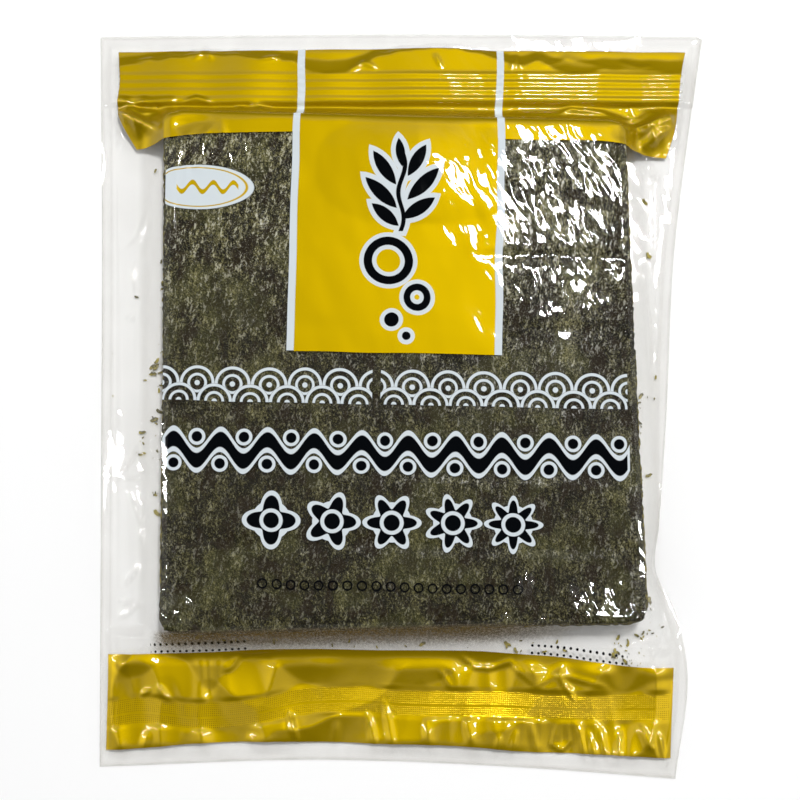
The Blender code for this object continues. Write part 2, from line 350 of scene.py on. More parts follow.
SEALED_END_CREASES = (
    (((-91.8, -121.4), (-88.8, -126.0), (-86.0, -127.5)), 1.0, 2.2),
    (((-94.9, -123.4), (-98.8, -125.5)), 0.8, 1.8),
    (((-59.5, -109.4), (-65.3, -115.8)), 1.2, 2.4),
    (((-72.5, -107.0), (-71.5, -126.9)), -1.2, 4.5),
    (((-39.7, -130.5), (-35.3, -143.7)), 1.2, 2.0),
    (((-8.6, -130.3), (-6.1, -137.3), (-4.4, -146.0)), 1.2, 2.2),
    (((-1.6, -125.5), (3.2, -147.0)), 1.1, 2.2),
    (((28.5, -107.2), (34.5, -111.8), (40.5, -112.1), (48.5, -109.6), (58.6, -119.2)), 1.0, 2.0),
    (((67.3, -113.9), (74.5, -124.0)), 1.2, 1.8),
    (((58.6, -119.2), (67.3, -113.9), (88.0, -119.0)), 0.8, 2.4),
    (((20.5, -113.3), (25.5, -121.0)), 0.9, 1.8),
    (((44.8, -138.0), (42.9, -148.5)), 1.1, 1.8),
    (((51.5, -136.0), (49.0, -148.0)), 1.1, 1.8),
    (((67.4, -133.9), (66.0, -141.7), (69.5, -144.0), (72.4, -140.4), (71.4, -132.6)), 1.0, 1.8),
    (((75.8, -133.7), (79.0, -148.4)), 1.1, 1.6),
    (((79.8, -135.6), (83.0, -149.0)), 1.1, 1.6),
    (((84.5, -133.5), (88.0, -149.0)), 1.2, 1.8),
    (((93.3, -135.3), (91.7, -149.5)), 1.1, 1.8),
    (((100.4, -133.2), (104.4, -142.1), (107.0, -142.5)), 1.0, 1.8),
    (((108.0, -136.0), (111.0, -149.0)), 1.0, 2.0),
    (((-20.0, -134.0), (-22.0, -147.0)), 0.9, 3.0),
    (((15.0, -133.0), (17.5, -147.0)), 0.9, 2.6),
    (((-55.0, -140.0), (-50.0, -147.5)), 0.8, 3.0),
    (((-95.0, -139.5), (-97.0, -148.0)), 0.9, 3.0),
    (((30.8, -132.0), (33.5, -142.0)), 0.9, 2.2),
    (((57.0, -133.0), (60.0, -147.0)), 0.9, 2.4),
)

# %% [markdown]
# Above the zip the film stays level as a shelf and then drops to the cut edge, and the shelf's edge
# wanders. At the sealed end it is the other way round: the film falls from the stack and lands on the
# flat seal along a zigzag line. Slopes look dark in gold and level film looks bright, so these two
# curves draw most of what is seen in the bands.

# %% Margins, zip and sealed end

SHELF_EDGE = smooth_curve(
    (
        (-128.0, 134.0), (-119.0, 135.0), (-103.0, 138.0), (-85.0, 141.0), (-60.0, 139.5),
        (-46.0, 139.0), (-39.0, 135.2), (-23.0, 134.8), (-16.0, 139.0), (-3.0, 143.5), (38.0, 143.0),
        (50.0, 138.6), (58.0, 141.0), (67.0, 136.8), (90.0, 137.5), (128.0, 136.5),
    )
)
LANDING_EDGE = smooth_curve(
    (
        (-120.0, -111.0), (-80.0, -113.0), (-71.0, -123.0), (-63.0, -113.0), (-47.0, -111.0),
        (-35.0, -118.5), (0.0, -119.0), (19.0, -118.0), (27.0, -113.0), (44.0, -110.5), (49.0, -110.5),
        (58.6, -119.6), (67.3, -114.0), (77.0, -117.6), (88.0, -118.6), (96.5, -120.6), (104.5, -116.7),
        (120.0, -115.0),
    )
)
SEAL_MIDDLE = smooth_curve(
    (
        (-112.0, -133.6), (-101.0, -131.6), (-75.0, -133.1), (-51.0, -130.5), (-35.0, -127.0),
        (-15.0, -125.5), (5.0, -126.4), (45.0, -126.3), (85.0, -127.0), (114.0, -125.9),
    )
)
SEAL_HALF_WIDTH = 5.2
ZIP_SHELF_HEIGHT = 4.3
ZIP_FADES_FROM, ZIP_ENDS_AT = 118.0, 127.0
SHELF_WANDER = 0.5
SHELF_DROP_POWER = 1.6
TRACKS_AT_LEFT, TRACKS_GAIN_AT_RIGHT = 0.3, 0.4
TRACKS_GAIN_FROM_X, TRACKS_GAIN_TO_X = -70.0, 60.0
FALL_START_Y, FALL_TOP_Y = -98.0, -103.0
FALL_HEIGHT = 3.0
BUCKLES_START_Y, BUCKLES_FULL_Y = -108.0, -114.0
CALM_TO_X, BUSY_FROM_X = 10.0, 60.0
CALM_SHARE = 0.35
SMALL_WAVES, LARGE_WAVES = 1.0, 2.0
SMALL_PRESSED_FLAT, LARGE_PRESSED_FLAT = 0.7, 0.45
SIDE_SEAM = 5.0
SIDE_SEAM_HEIGHT, SIDE_SEAM_HALF_WIDTH = 0.35, 1.6


def with_zip(x, y, height, inner):
    """Raise the margin to the zip's level shelf, and put the fine tracks on it."""
    from_zip = y - zip_middle(x)
    near_side = smooth_step(ZIP_ENDS_AT, ZIP_FADES_FROM, np.abs(x))
    level = smooth_step(-ZIP_HALF_WIDTH - 1.5, -ZIP_HALF_WIDTH + 0.5, from_zip)
    edge = SHELF_EDGE(x) + SHELF_WANDER * rough_field(x, 0.0 * y, 5.0, 71)
    drop = np.clip((y - edge) / np.maximum(bag_top(x) - 3.0 - edge, 1.0), 0.0, 1.0)
    shelf = ZIP_SHELF_HEIGHT - (ZIP_SHELF_HEIGHT - RIM_THICKNESS) * (1.0 - (1.0 - drop) ** SHELF_DROP_POWER)
    height = np.maximum(height, height + (shelf - height) * level * near_side)
    track = np.sin(math.pi * ZIP_TRACKS * (0.5 + 0.5 * from_zip / ZIP_HALF_WIDTH)) ** 2
    in_zip = smooth_step(ZIP_HALF_WIDTH + ZIP_EASE, ZIP_HALF_WIDTH - ZIP_EASE, np.abs(from_zip))
    gain = TRACKS_GAIN_AT_RIGHT * smooth_step(TRACKS_GAIN_FROM_X, TRACKS_GAIN_TO_X, x)
    return height + in_zip * inner * near_side * (ZIP_TRACK_HEIGHT * (TRACKS_AT_LEFT + gain)) * track


def with_sealed_end(x, y, height, inner):
    """Let the film fall from the stack to the seal, and buckle it below, most on the right."""
    landing = LANDING_EDGE(x)
    fall = np.clip((y - landing) / (FALL_TOP_Y - landing), 0.0, 1.0)
    height = height + FALL_HEIGHT * fall * smooth_step(FALL_START_Y, FALL_TOP_Y, y) * inner
    on_seal = smooth_step(SEAL_HALF_WIDTH + 1.5, SEAL_HALF_WIDTH - 0.5, np.abs(y - SEAL_MIDDLE(x)))
    below = smooth_step(BUCKLES_START_Y, BUCKLES_FULL_Y, y)
    busy = CALM_SHARE + (1.0 - CALM_SHARE) * smooth_step(CALM_TO_X, BUSY_FROM_X, x)
    busy = busy * (1.0 - SMALL_PRESSED_FLAT * on_seal) * below
    ridges = 0.7 - np.abs(rough_field(x, y, 8.0, 31, 2.8, 6.0))
    height = height + inner * busy * SMALL_WAVES * ridges
    ridges = 0.8 - np.abs(rough_field(x, y, 19.0, 32, 1.5, 4.0))
    return height + inner * below * LARGE_WAVES * (1.0 - LARGE_PRESSED_FLAT * on_seal) * ridges


def margin_height(x, y):
    """The height of the film where no sheets lie under it."""
    rim = from_rim(x, y)
    inner = smooth_step(1.0, RIM_WIDTH, rim)
    height = RIM_THICKNESS + (MARGIN_HEIGHT - RIM_THICKNESS) * smooth_step(0.0, RIM_WIDTH, rim)
    height = with_zip(x, y, height, inner)
    height = with_sealed_end(x, y, height, inner)
    beside = smooth_step(0.0, 1.0, np.minimum(y - bag_bottom(x), bag_top(x) - y) - rim)
    height = height + SIDE_SEAM_HEIGHT * beside * bump(rim, SIDE_SEAM, SIDE_SEAM_HALF_WIDTH)
    return height + inner * creases(x, y, SEALED_END_CREASES + TOP_CREASES)


# %% [markdown]
# Over the sheets the film is nearly flat, and a flat mirror shows the window in one place only. Folds with
# flat flanks show it elsewhere: a flank flashes white where it leans by just the angle that sends the
# window's light to the camera, so the folds near a corner all lean alike. Where the film is slack, ripples
# break the window's image into many small glints, and where it is taut the image stays whole.

# %% Folds and ripples over the stack

BELOW_FILM_TOP = 0.35
FILM_IN_GROOVES = 0.1
RIPPLE, FINE_RIPPLE = 0.20, 0.045
LEAST_SLACK = 0.25
AIR_POCKETS = ((-85.5, -95.0, 11.0, 2.8),)
EDGE_LINE = ((-90.2, 97.0), (-91.4, 81.0), (-92.0, 71.7), (-91.8, 64.5), (-91.7, 55.0), (-91.0, 18.0))
STACK_FOLDS = (
    (EDGE_LINE, 0.38, 2.0, 1.0),
    (((-82.2, 86.0), (-81.6, 99.3), (-77.0, 105.5)), 0.53, 3.0, 1.0),
    (((-78.0, 88.0), (-76.9, 97.0), (-75.4, 105.0)), 0.39, 2.2, 1.0),
    (((-73.6, 107.5), (-71.8, 98.0), (-69.0, 88.0)), 0.51, 2.9, 1.0),
    (((-87.6, 80.0), (-86.9, 94.0)), 0.37, 2.1, 1.0),
    (((-92.6, 86.0), (-90.6, 95.0), (-86.0, 103.0)), 0.55, 3.1, 1.0),
    (((-64.5, 103.0), (-64.0, 92.0)), 0.35, 2.0, 1.0),
    (((8.0, 66.0), (8.0, 112.0)), 1.6, 42.0, 1.0),
    (((60.0, -99.3), (116.0, -92.0)), 3.0, 20.0, 1.0),
    (((50.6, -77.9), (55.8, -78.2)), 1.01, 5.5, 1.0),
    (((59.7, -92.6), (63.7, -92.6)), 0.75, 3.7, 1.0),
    (((43.5, -92.2), (47.5, -92.6)), 0.80, 4.0, 1.0),
    (((49.3, -92.9), (58.3, -93.3)), 0.49, 2.4, 1.0),
    (((70.0, -81.6), (73.6, -81.3)), 0.62, 3.3, 1.0),
)
SLACK_PLACES = (
    (62.0, 84.0, 58.0, 0.75),
    (84.0, 42.0, 25.0, 0.45),
    (84.0, -84.0, 30.0, 1.1),
    (-80.0, -88.0, 20.0, 0.7),
    (-80.0, 98.0, 26.0, -0.19),
    (-92.0, 52.0, 30.0, -0.17),
)
PLATEAU_DIPS = (
    (((-93.0, 105.0), (-84.0, 108.0), (-76.0, 108.5)), -1.0, 6.0),
    (((93.0, 103.0), (92.0, 111.0)), -1.0, 6.0),
)
FILM_DIPS = ((((32.0, 53.5), (60.0, 54.2), (99.0, 53.0)), -0.55, 4.6, 1.0),)
ROLL_STARTS_X, ROLL_FULL_X = -88.0, -70.0
EAR_INNER_X, EAR_LOW_Y, EAR_HIGH_Y = (92.0, 99.0), (97.0, 101.0), (123.0, 119.0)
EAR_WAVES = ((1.5, 0.6, (13.0, 36, 1.4, 30.0)), (0.6, 0.5, (6.0, 37, 1.4, -20.0)))
MARGIN_WAVE, LESS_BESIDE_STACK = 0.3, 0.1
BESIDE_LOW_Y, BESIDE_HIGH_Y = (-102.0, -96.0), (106.0, 98.0)


def film_slack(x, y):
    """How loosely the film lies over the sheets."""
    slack = LEAST_SLACK
    for middle_x, middle_y, reach, amount in SLACK_PLACES:
        slack = slack + amount * smooth_step(reach, reach * 0.4, np.hypot(x - middle_x, y - middle_y))
    return slack


def film_over_stack(x, y):
    inside = inside_stack(x, y)
    height = FILM_TOP - BELOW_FILM_TOP - SOFT_EDGE_DROP * smooth_step(SOFT_EDGE_WIDTH, 0.0, inside)
    height = height - FILM_IN_GROOVES * groove_depth(x, y) * smooth_step(0.0, GROOVES_BEGIN_INSIDE, inside)
    height = height + creases(x, y, PLATEAU_DIPS + FILM_DIPS + STACK_FOLDS)
    for middle_x, middle_y, reach, lift in AIR_POCKETS:
        away = np.hypot(x - middle_x, y - middle_y) / reach
        height = height + lift * np.clip(1.02 - np.sqrt(away**2 + 0.03), 0.0, 1.0)
    roll = EDGE_ROLL * (0.55 + 0.45 * rough_field(x, y, 14.0, 66))
    roll = roll * smooth_step(ROLL_STARTS_X, ROLL_FULL_X, x)
    height = height + roll * bump(inside, EDGE_ROLL_WIDTH, EDGE_ROLL_WIDTH)
    slack = film_slack(x, y)
    height = height + slack * RIPPLE * rough_field(x, y, 8.0, 11, 2.0, 22.0)
    return height + slack * FINE_RIPPLE * rough_field(x, y, 4.0, 12, 2.0, 22.0)


def film_height(x, y):
    """The height of the printed film over each point."""
    share = np.clip(beyond_stack(x, y), 0.0, 1.0)
    inner = smooth_step(0.5, RIM_WIDTH, from_rim(x, y))
    margin = margin_height(x, y) + creases(x, y, CORNER_CREASES) * share
    margin = margin + creases(x, y, LEFT_CREASES + RIGHT_CREASES + EAR_CREASES) * inner
    in_ear = smooth_step(*EAR_INNER_X, np.abs(x)) * smooth_step(*EAR_LOW_Y, y) * smooth_step(*EAR_HIGH_Y, y)
    for height, middle, shape in EAR_WAVES:
        margin = margin + inner * in_ear * height * (middle - np.abs(rough_field(x, y, *shape)))
    beside = smooth_step(*BESIDE_LOW_Y, y) * smooth_step(*BESIDE_HIGH_Y, y)
    wave = MARGIN_WAVE - LESS_BESIDE_STACK * beside
    margin = margin + inner * wave * rough_field(x, y, 19.0, 5, 1.5, 12.0)
    wall = (1.0 - share**1.2) ** WALL_STEEPNESS
    return margin + np.maximum(film_over_stack(x, y) - margin, 0.0) * wall


# %% [markdown]
# ## The film as a mesh
#
# A grid whose lines follow both the bag's edges and the stack's gives the film, about a millimetre apart.
# The back is half as fine, and both share the cut edge, so the bag is one closed skin. A second set of
# coordinates remembers where each point lay on the flat film before folding. The print uses those, so
# that its edges bend wherever the film does.

# %% The grid that follows the bag


def graded(strips, power):
    return 1.0 - (1.0 - np.linspace(0.0, 1.0, strips + 1)) ** power


def grid_lines(strips, crowd):
    before, middle, after = strips
    first = graded(before, crowd)
    second = 1.0 + np.linspace(0.0, 1.0, middle + 1)[1:]
    third = 3.0 - graded(after, crowd)[::-1][1:]
    return np.concatenate([first, second, third])


def between_lines(position, lines):
    result = lines[0]
    for index in range(3):
        result = result + (lines[index + 1] - lines[index]) * np.clip(position - index, 0.0, 1.0)
    return result


def footprint(across_strips, along_strips):
    s, t = np.meshgrid(grid_lines(across_strips, 1.15), grid_lines(along_strips, 1.1))
    x = np.zeros_like(s)
    y = np.zeros_like(t)
    for _ in range(6):
        y = between_lines(t, (bag_bottom(x), stack_bottom(x), stack_top(x), bag_top(x)))
        x = between_lines(s, (bag_left(y), stack_left(y), stack_right(y), bag_right(y)))
    return x, y


FRONT_STRIPS_ACROSS = (38, 198, 34)
FRONT_STRIPS_ALONG = (68, 166, 58)
film_x, film_y = footprint(FRONT_STRIPS_ACROSS, FRONT_STRIPS_ALONG)
film_z = film_height(film_x, film_y)
print("film grid:", film_x.shape, "highest point in mm:", round(float(film_z.max()), 2))

# %% [markdown]
# The printed bands were straight on the flat film. Folding moved their edges, so these few points say
# where each edge has ended up, and the drift between them is read off smoothly.

# %% Where folding moved the print

BAND_LOW_EDGE = smooth_curve(
    (
        (-113.0, -147.4), (-54.6, -143.1), (5.2, -142.7), (65.0, -144.7), (113.0, -146.1),
    )
)
BAND_HIGH_EDGE = smooth_curve(
    (
        (-112.7, -110.0), (-75.6, -108.5), (-45.0, -106.2), (4.4, -105.9), (44.5, -105.9),
        (68.5, -107.2), (84.5, -109.3), (100.5, -110.9), (114.0, -110.7),
    )
)
TOP_LOW_EDGE = smooth_curve(
    (
        (-110.0, 98.7), (-96.0, 100.2), (-82.0, 102.0), (-67.0, 103.2), (41.0, 102.4), (86.0, 102.0),
        (96.0, 100.9), (112.0, 99.6),
    )
)
TOP_HIGH_EDGE = smooth_curve(((-120.0, 141.7), (0.0, 145.4), (120.6, 146.5)))
LEFT_EDGE = smooth_curve(
    (
        (-147.0, -112.3), (-110.0, -112.7), (98.7, -109.9), (106.0, -114.7), (113.0, -118.4),
        (131.0, -118.6), (142.0, -120.1),
    )
)
RIGHT_EDGE = smooth_curve(
    (
        (-146.0, 113.1), (-110.7, 114.0), (99.8, 112.0), (112.2, 115.5), (122.3, 117.1), (135.5, 118.4),
        (146.5, 120.6),
    )
)

PRINT_SIDE = 120.0
BAND_LOW, BAND_HIGH, TOP_LOW, TOP_HIGH = -144.0, -106.0, 102.4, 145.4
STILL_LOW, STILL_HIGH = -84.0, 84.0


def print_place(x, y):
    """Where a point of the folded film lies on the flat print."""
    lines = (BAND_LOW, BAND_HIGH, STILL_LOW, STILL_HIGH, TOP_LOW, TOP_HIGH)
    drifts = (
        BAND_LOW_EDGE(x) - BAND_LOW,
        BAND_HIGH_EDGE(x) - BAND_HIGH,
        np.zeros_like(x),
        np.zeros_like(x),
        TOP_LOW_EDGE(x) - TOP_LOW,
        TOP_HIGH_EDGE(x) - TOP_HIGH,
    )
    drift_y = drifts[0] + 0.0 * y
    for index in range(len(lines) - 1):
        share = np.clip((y - lines[index]) / (lines[index + 1] - lines[index]), 0.0, 1.0)
        drift_y = drift_y + (drifts[index + 1] - drifts[index]) * share
    beside = smooth_step(92.0, 110.0, np.abs(x))
    edge_drift = np.where(x < 0.0, LEFT_EDGE(y) + PRINT_SIDE, RIGHT_EDGE(y) - PRINT_SIDE)
    drift_x = beside * edge_drift
    wobble = 0.25 * rough_field(x, y, 17.0, 41)
    return x - drift_x + wobble, y - drift_y + 0.25 * rough_field(x, y, 17.0, 42)


film_u, film_v = print_place(film_x, film_y)

# %% [markdown]
# The front and the back are welded along the cut edge. Where the back's cells are twice as wide, its
# outermost faces take the front's extra edge points in, so no gap is left.

# %% Build the closed film


def ring_indices(rows, columns):
    bottom = list(range(columns))
    right = [row * columns + columns - 1 for row in range(1, rows)]
    top = [(rows - 1) * columns + column for column in reversed(range(columns - 1))]
    left = [row * columns for row in reversed(range(1, rows - 1))]
    return bottom + right + top + left


BACK_GAP = 0.12
BACK_RIPPLE = 0.12
BACK_LIFT, BACK_LIFT_WIDTH = 0.6, 7.0
LEAST_HAZE, MARGIN_HAZE, PATCHY_HAZE = 0.004, 0.004, 0.014
SEALED_END_HAZE_AND_SHADE, SIDE_SEAM_HAZE, CUT_EDGE_HAZE = 0.03, 0.02, 0.15
SEALED_END_FROM_Y, SEALED_END_FULL_Y = -138.0, -146.0
CUT_EDGE_WIDTH = 0.9
SHADE_ON_SLOPES = 0.10
GENTLE_SLOPE, STEEP_SLOPE = 0.12, 0.7
SLOPE_STEP = 0.2
# Dust and a painted brown shade lie on the film under the stack's lower edge.
DUST_AND_SHADE_WIDTH = 10.0
DUST_AND_SHADE_FROM_X, DUST_AND_SHADE_TO_X = (-97.0, -88.0), (85.0, 30.0)


def film_haze_and_shade(x, y):
    """How cloudy the clear film is: clear over the sheets, cloudier at the seams and at the sealed end, where
    part of the greyness is painted shade.
    """
    rim = from_rim(x, y)
    margin = smooth_step(1.0, -4.0, inside_stack(x, y))
    haze = LEAST_HAZE + margin * (MARGIN_HAZE + PATCHY_HAZE * np.abs(rough_field(x, y, 18.0, 55, 1.5)))
    # At the sealed end the cloudiness is partly a painted shade.
    haze = haze + SEALED_END_HAZE_AND_SHADE * smooth_step(SEALED_END_FROM_Y, SEALED_END_FULL_Y, y)
    haze = haze + SIDE_SEAM_HAZE * smooth_step(SIDE_SEAM, SIDE_SEAM - 1.0, rim)
    return haze + CUT_EDGE_HAZE * smooth_step(CUT_EDGE_WIDTH, 0.0, rim)


def slope_shade():
    """Steep film beside the stack is painted greyer: a painted shade that grows with the slope."""
    rise_x = film_height(film_x + SLOPE_STEP, film_y) - film_height(film_x - SLOPE_STEP, film_y)
    rise_y = film_height(film_x, film_y + SLOPE_STEP) - film_height(film_x, film_y - SLOPE_STEP)
    steepness = np.hypot(rise_x, rise_y) / (2.0 * SLOPE_STEP)
    beside_stack = smooth_step(-4.0, -10.0, inside_stack(film_x, film_y))
    return (SHADE_ON_SLOPES * beside_stack * smooth_step(GENTLE_SLOPE, STEEP_SLOPE, steepness)).ravel()


def dust_and_shade_below_stack(x, y):
    """Fine dust from the sheets clings to the film that falls from their lower edge, over a painted brown
    shade there.
    """
    below = stack_bottom(x) - y
    near = smooth_step(-1.0, 0.5, below) * smooth_step(DUST_AND_SHADE_WIDTH, 1.0, below)
    return near * smooth_step(*DUST_AND_SHADE_FROM_X, x) * smooth_step(*DUST_AND_SHADE_TO_X, x)


def back_height(x, y, rim_height):
    """The back lies on the table, and lifts a little towards the cut edge."""
    lift = smooth_step(BACK_LIFT_WIDTH, 0.0, from_rim(x, y))
    waves = np.maximum(1.0 + rough_field(x, y, 16.0, 51), 0.0)
    ripple = BACK_RIPPLE * waves * smooth_step(3.0, -6.0, inside_stack(x, y))
    return BACK_GAP + ripple + (rim_height - BACK_GAP) * lift * BACK_LIFT


def back_of_film(grid):
    """The back's points and faces, which share the points of the cut edge with the front's grid."""
    back_x, back_y = film_x[::2, ::2], film_y[::2, ::2]
    back_z = np.minimum(back_height(back_x, back_y, RIM_THICKNESS), film_z[::2, ::2] - BACK_GAP)
    points = np.stack([part[1:-1, 1:-1].ravel() for part in (back_x, back_y, back_z)], axis=1)
    rows, columns = back_x.shape
    number = grid[::2, ::2].copy()
    number[1:-1, 1:-1] = grid.size + np.arange(len(points)).reshape(rows - 2, columns - 2)

    def halfway(here, there):
        """The front's extra point halfway along a back cell's side, where that side is the cut edge."""
        on_end = here[0] == there[0] and here[0] in (0, rows - 1)
        on_side = here[1] == there[1] and here[1] in (0, columns - 1)
        return [int(grid[here[0] + there[0], here[1] + there[1]])] if on_end or on_side else []

    faces = []
    for r in range(rows - 1):
        for c in range(columns - 1):
            around = ((r, c), (r + 1, c), (r + 1, c + 1), (r, c + 1))
            face = []
            for here, there in zip(around, around[1:] + around[:1]):
                face += [int(number[here])] + halfway(here, there)
            faces.append(face)
    return points, faces


def crease_cut_edge(mesh):
    """Shade the front and the back apart where they meet."""
    ends = np.zeros(len(mesh.edges) * 2, dtype=np.int32)
    mesh.edges.foreach_get("vertices", ends)
    on_rim = np.isin(ends.reshape(-1, 2), ring_indices(*film_x.shape)).all(axis=1)
    mesh.attributes.new("sharp_edge", "BOOLEAN", "EDGE").data.foreach_set("value", on_rim)


def make_film():
    grid = np.arange(film_x.size).reshape(film_x.shape)
    front = np.stack([film_x.ravel(), film_y.ravel(), film_z.ravel()], axis=1)
    front_faces = grid_faces(grid)
    back, back_faces = back_of_film(grid)
    points = np.concatenate([front, back])
    mesh = bpy.data.meshes.new("bag_film")
    mesh.from_pydata((points * MM).tolist(), [], front_faces + back_faces)
    mesh.polygons.foreach_set("material_index", [0] * len(front_faces) + [1] * len(back_faces))
    mesh.shade_smooth()
    crease_cut_edge(mesh)

    flat = np.stack([np.append(film_u, back[:, 0]), np.append(film_v, back[:, 1])], axis=1)
    loops = np.zeros(len(mesh.loops), dtype=np.int32)
    mesh.loops.foreach_get("vertex_index", loops)
    mesh.uv_layers.new(name="flat_film").data.foreach_set("uv", flat[loops].astype(np.float32).ravel())

    x, y = points[:, 0], points[:, 1]
    haze = film_haze_and_shade(x, y)
    # Painted shade on the steep film beside the stack.
    haze[: len(front)] += slope_shade()
    keep_on_points(mesh, "haze", haze)
    # Dust and painted shade under the stack's lower edge.
    keep_on_points(mesh, "dust", dust_and_shade_below_stack(x, y))
    keep_on_points(mesh, "slack", film_slack(x, y))
    return link("bag_film", mesh)


bag_film = make_film()
print("film faces:", len(bag_film.data.polygons))

# %% [markdown]
# ## The nori
#
# A sheet of nori is a slab a fifth of a millimetre thick with a soft, torn-looking edge. The stack
# under the top sheet is that one slab, copied upwards by Geometry Nodes, each copy a little turned and
# shifted. The top sheet is made apart, because its face shows: it has the drying mat's cross grooves
# and the waves that dried seaweed takes.

# %% One sheet of nori as a ragged slab

SHEET_THICKNESS = 0.2
SHEET_STEP = 1.6
SHEET_RAGGEDNESS = 0.6
EDGE_WAVE = 0.05
CORNER_POINTS = 7
NORI_TOP = 15.35


def stack_outline(step, ragged, seed):
    """Points along the four sides of the stack with rounded corners and a ragged edge."""
    corners = [np.array(c) for c in (STACK_BOTTOM_LEFT, STACK_BOTTOM_RIGHT, STACK_TOP_RIGHT, STACK_TOP_LEFT)]
    points = []
    for index, corner in enumerate(corners):
        before, following = corners[index - 1], corners[(index + 1) % 4]
        towards_before = (before - corner) / np.linalg.norm(before - corner)
        towards_next = (following - corner) / np.linalg.norm(following - corner)
        start = corner + towards_before * STACK_CORNER_RADIUS
        end = corner + towards_next * STACK_CORNER_RADIUS
        for t in np.linspace(0.0, 1.0, CORNER_POINTS):
            points.append((1 - t) ** 2 * start + 2 * t * (1 - t) * corner + t**2 * end)
        next_start = following - towards_next * STACK_CORNER_RADIUS
        count = int(np.linalg.norm(next_start - end) / step)
        for t in np.linspace(0.0, 1.0, count + 1)[1:-1]:
            points.append(end * (1 - t) + next_start * t)
    points = np.array(points)
    random = np.random.default_rng(seed)
    centre = points.mean(axis=0)
    outward = (points - centre) / np.linalg.norm(points - centre, axis=1)[:, None]
    return points + outward * random.uniform(-ragged, ragged * 0.5, len(points))[:, None]


def slab_mesh(name, outline, low, high):
    """A flat slab over an outline, with a low and a high height for each of its points."""
    count = len(outline)
    lower = np.column_stack([outline, low])
    upper = np.column_stack([outline, high])
    faces = [(i, (i + 1) % count, count + (i + 1) % count, count + i) for i in range(count)]
    faces.append(tuple(reversed(range(count))))
    faces.append(tuple(range(count, 2 * count)))
    mesh = bpy.data.meshes.new(name)
    mesh.from_pydata((np.concatenate([lower, upper]) * MM).tolist(), [], faces)
    return mesh


sheet_outline = stack_outline(SHEET_STEP, SHEET_RAGGEDNESS, 7)
edge_wave = EDGE_WAVE * np.sin(np.arange(len(sheet_outline)) * 0.7)
one_sheet = slab_mesh("under_sheets", sheet_outline, edge_wave, edge_wave + SHEET_THICKNESS)
under_sheets = link("under_sheets", one_sheet)

# %% [markdown]
# Geometry Nodes are easier to read when each node is one line. This small builder adds a node, sets its
# settings, fills its inputs with values or links, and hands back the node. Random numbers and copies on
# points come up more than once, so each has a line of its own too.

# %% A builder for Geometry Nodes


class NodeTree:
    def __init__(self, name):
        self.tree = bpy.data.node_groups.new(name, "GeometryNodeTree")
        self.tree.interface.new_socket(name="Geometry", in_out="INPUT", socket_type="NodeSocketGeometry")
        self.tree.interface.new_socket(name="Geometry", in_out="OUTPUT", socket_type="NodeSocketGeometry")
        self.start = self.tree.nodes.new("NodeGroupInput")
        self.end = self.tree.nodes.new("NodeGroupOutput")
        self.named = {}

    def ask(self, name, kind, value):
        """A named input of the tree, with the value that the modifier will give it."""
        socket = self.tree.interface.new_socket(name=name, in_out="INPUT", socket_type="NodeSocket" + kind)
        self.named[socket.identifier] = value
        return self.start.outputs[name]

    def add(self, kind, settings=None, inputs=None):
        node = self.tree.nodes.new(kind)
        for key, value in (settings or {}).items():
            setattr(node, key, value)
        for key, value in (inputs or {}).items():
            self.fill(node.inputs[key], value)
        return node

    def fill(self, socket, value):
        if isinstance(value, bpy.types.NodeSocket):
            self.tree.links.new(value, socket)
        else:
            socket.default_value = value

    def vector(self, **parts):
        return self.add("ShaderNodeCombineXYZ", inputs=parts).outputs[0]

    def minus(self, value):
        return self.add("ShaderNodeMath", {"operation": "MULTIPLY"}, {0: value, 1: -1.0}).outputs[0]

    def random_number(self, low, high, seed):
        inputs = {2: low, 3: high, "Seed": seed}
        return self.add("FunctionNodeRandomValue", {"data_type": "FLOAT"}, inputs).outputs[1]

    def random_vector(self, low, high, seed):
        inputs = {0: low, 1: high, "Seed": seed}
        return self.add("FunctionNodeRandomValue", {"data_type": "FLOAT_VECTOR"}, inputs).outputs[0]

    def copies(self, points, shape, **placing):
        inputs = {"Points": points, "Instance": shape, **placing}
        return self.add("GeometryNodeInstanceOnPoints", inputs=inputs).outputs[0]

    def finish(self, geometry, material):
        """Make the instances real, give them their material and end the tree."""
        real = self.add("GeometryNodeRealizeInstances", inputs={"Geometry": geometry}).outputs[0]
        coated = self.add("GeometryNodeSetMaterial", inputs={"Geometry": real, "Material": material})
        self.fill(self.end.inputs["Geometry"], coated.outputs[0])

    def apply_to(self, item):
        """Run the tree on an object and keep the result as a plain mesh."""
        modifier = item.modifiers.new(self.tree.name, "NODES")
        modifier.node_group = self.tree
        for identifier, value in self.named.items():
            modifier[identifier] = value
        bpy.context.view_layer.update()
        evaluated = item.evaluated_get(bpy.context.evaluated_depsgraph_get())
        result = bpy.data.meshes.new_from_object(evaluated)
        item.modifiers.clear()
        item.data = result
        item.data.name = item.name
        return item


# %% [markdown]
# ## Shader maths as sums
#
# A Signal wraps one shader socket, so that masks can be written as ordinary sums. The Shader class makes
# every other node from its type, its settings and its inputs, and has a short name for each common one.

# %% Signals and shaders


class Signal:
    def __init__(self, shader, socket):
        self.shader = shader
        self.socket = socket

    def math(self, operation, *others):
        return self.shader.math(operation, self, *others)

    def __add__(self, other):
        return self.math("ADD", other)

    def __radd__(self, other):
        return self.math("ADD", other)

    def __sub__(self, other):
        return self.math("SUBTRACT", other)

    def __rsub__(self, other):
        return self.shader.math("SUBTRACT", other, self)

    def __mul__(self, other):
        return self.math("MULTIPLY", other)

    def __rmul__(self, other):
        return self.math("MULTIPLY", other)

    def __truediv__(self, other):
        return self.math("DIVIDE", other)

    def __pow__(self, other):
        return self.math("POWER", other)

    def __abs__(self):
        return self.math("ABSOLUTE")

    def low(self, other):
        return self.math("MINIMUM", other)

    def high(self, other):
        return self.math("MAXIMUM", other)

    def clamp(self):
        return self.shader.math("ADD", self, 0.0, clamp=True)


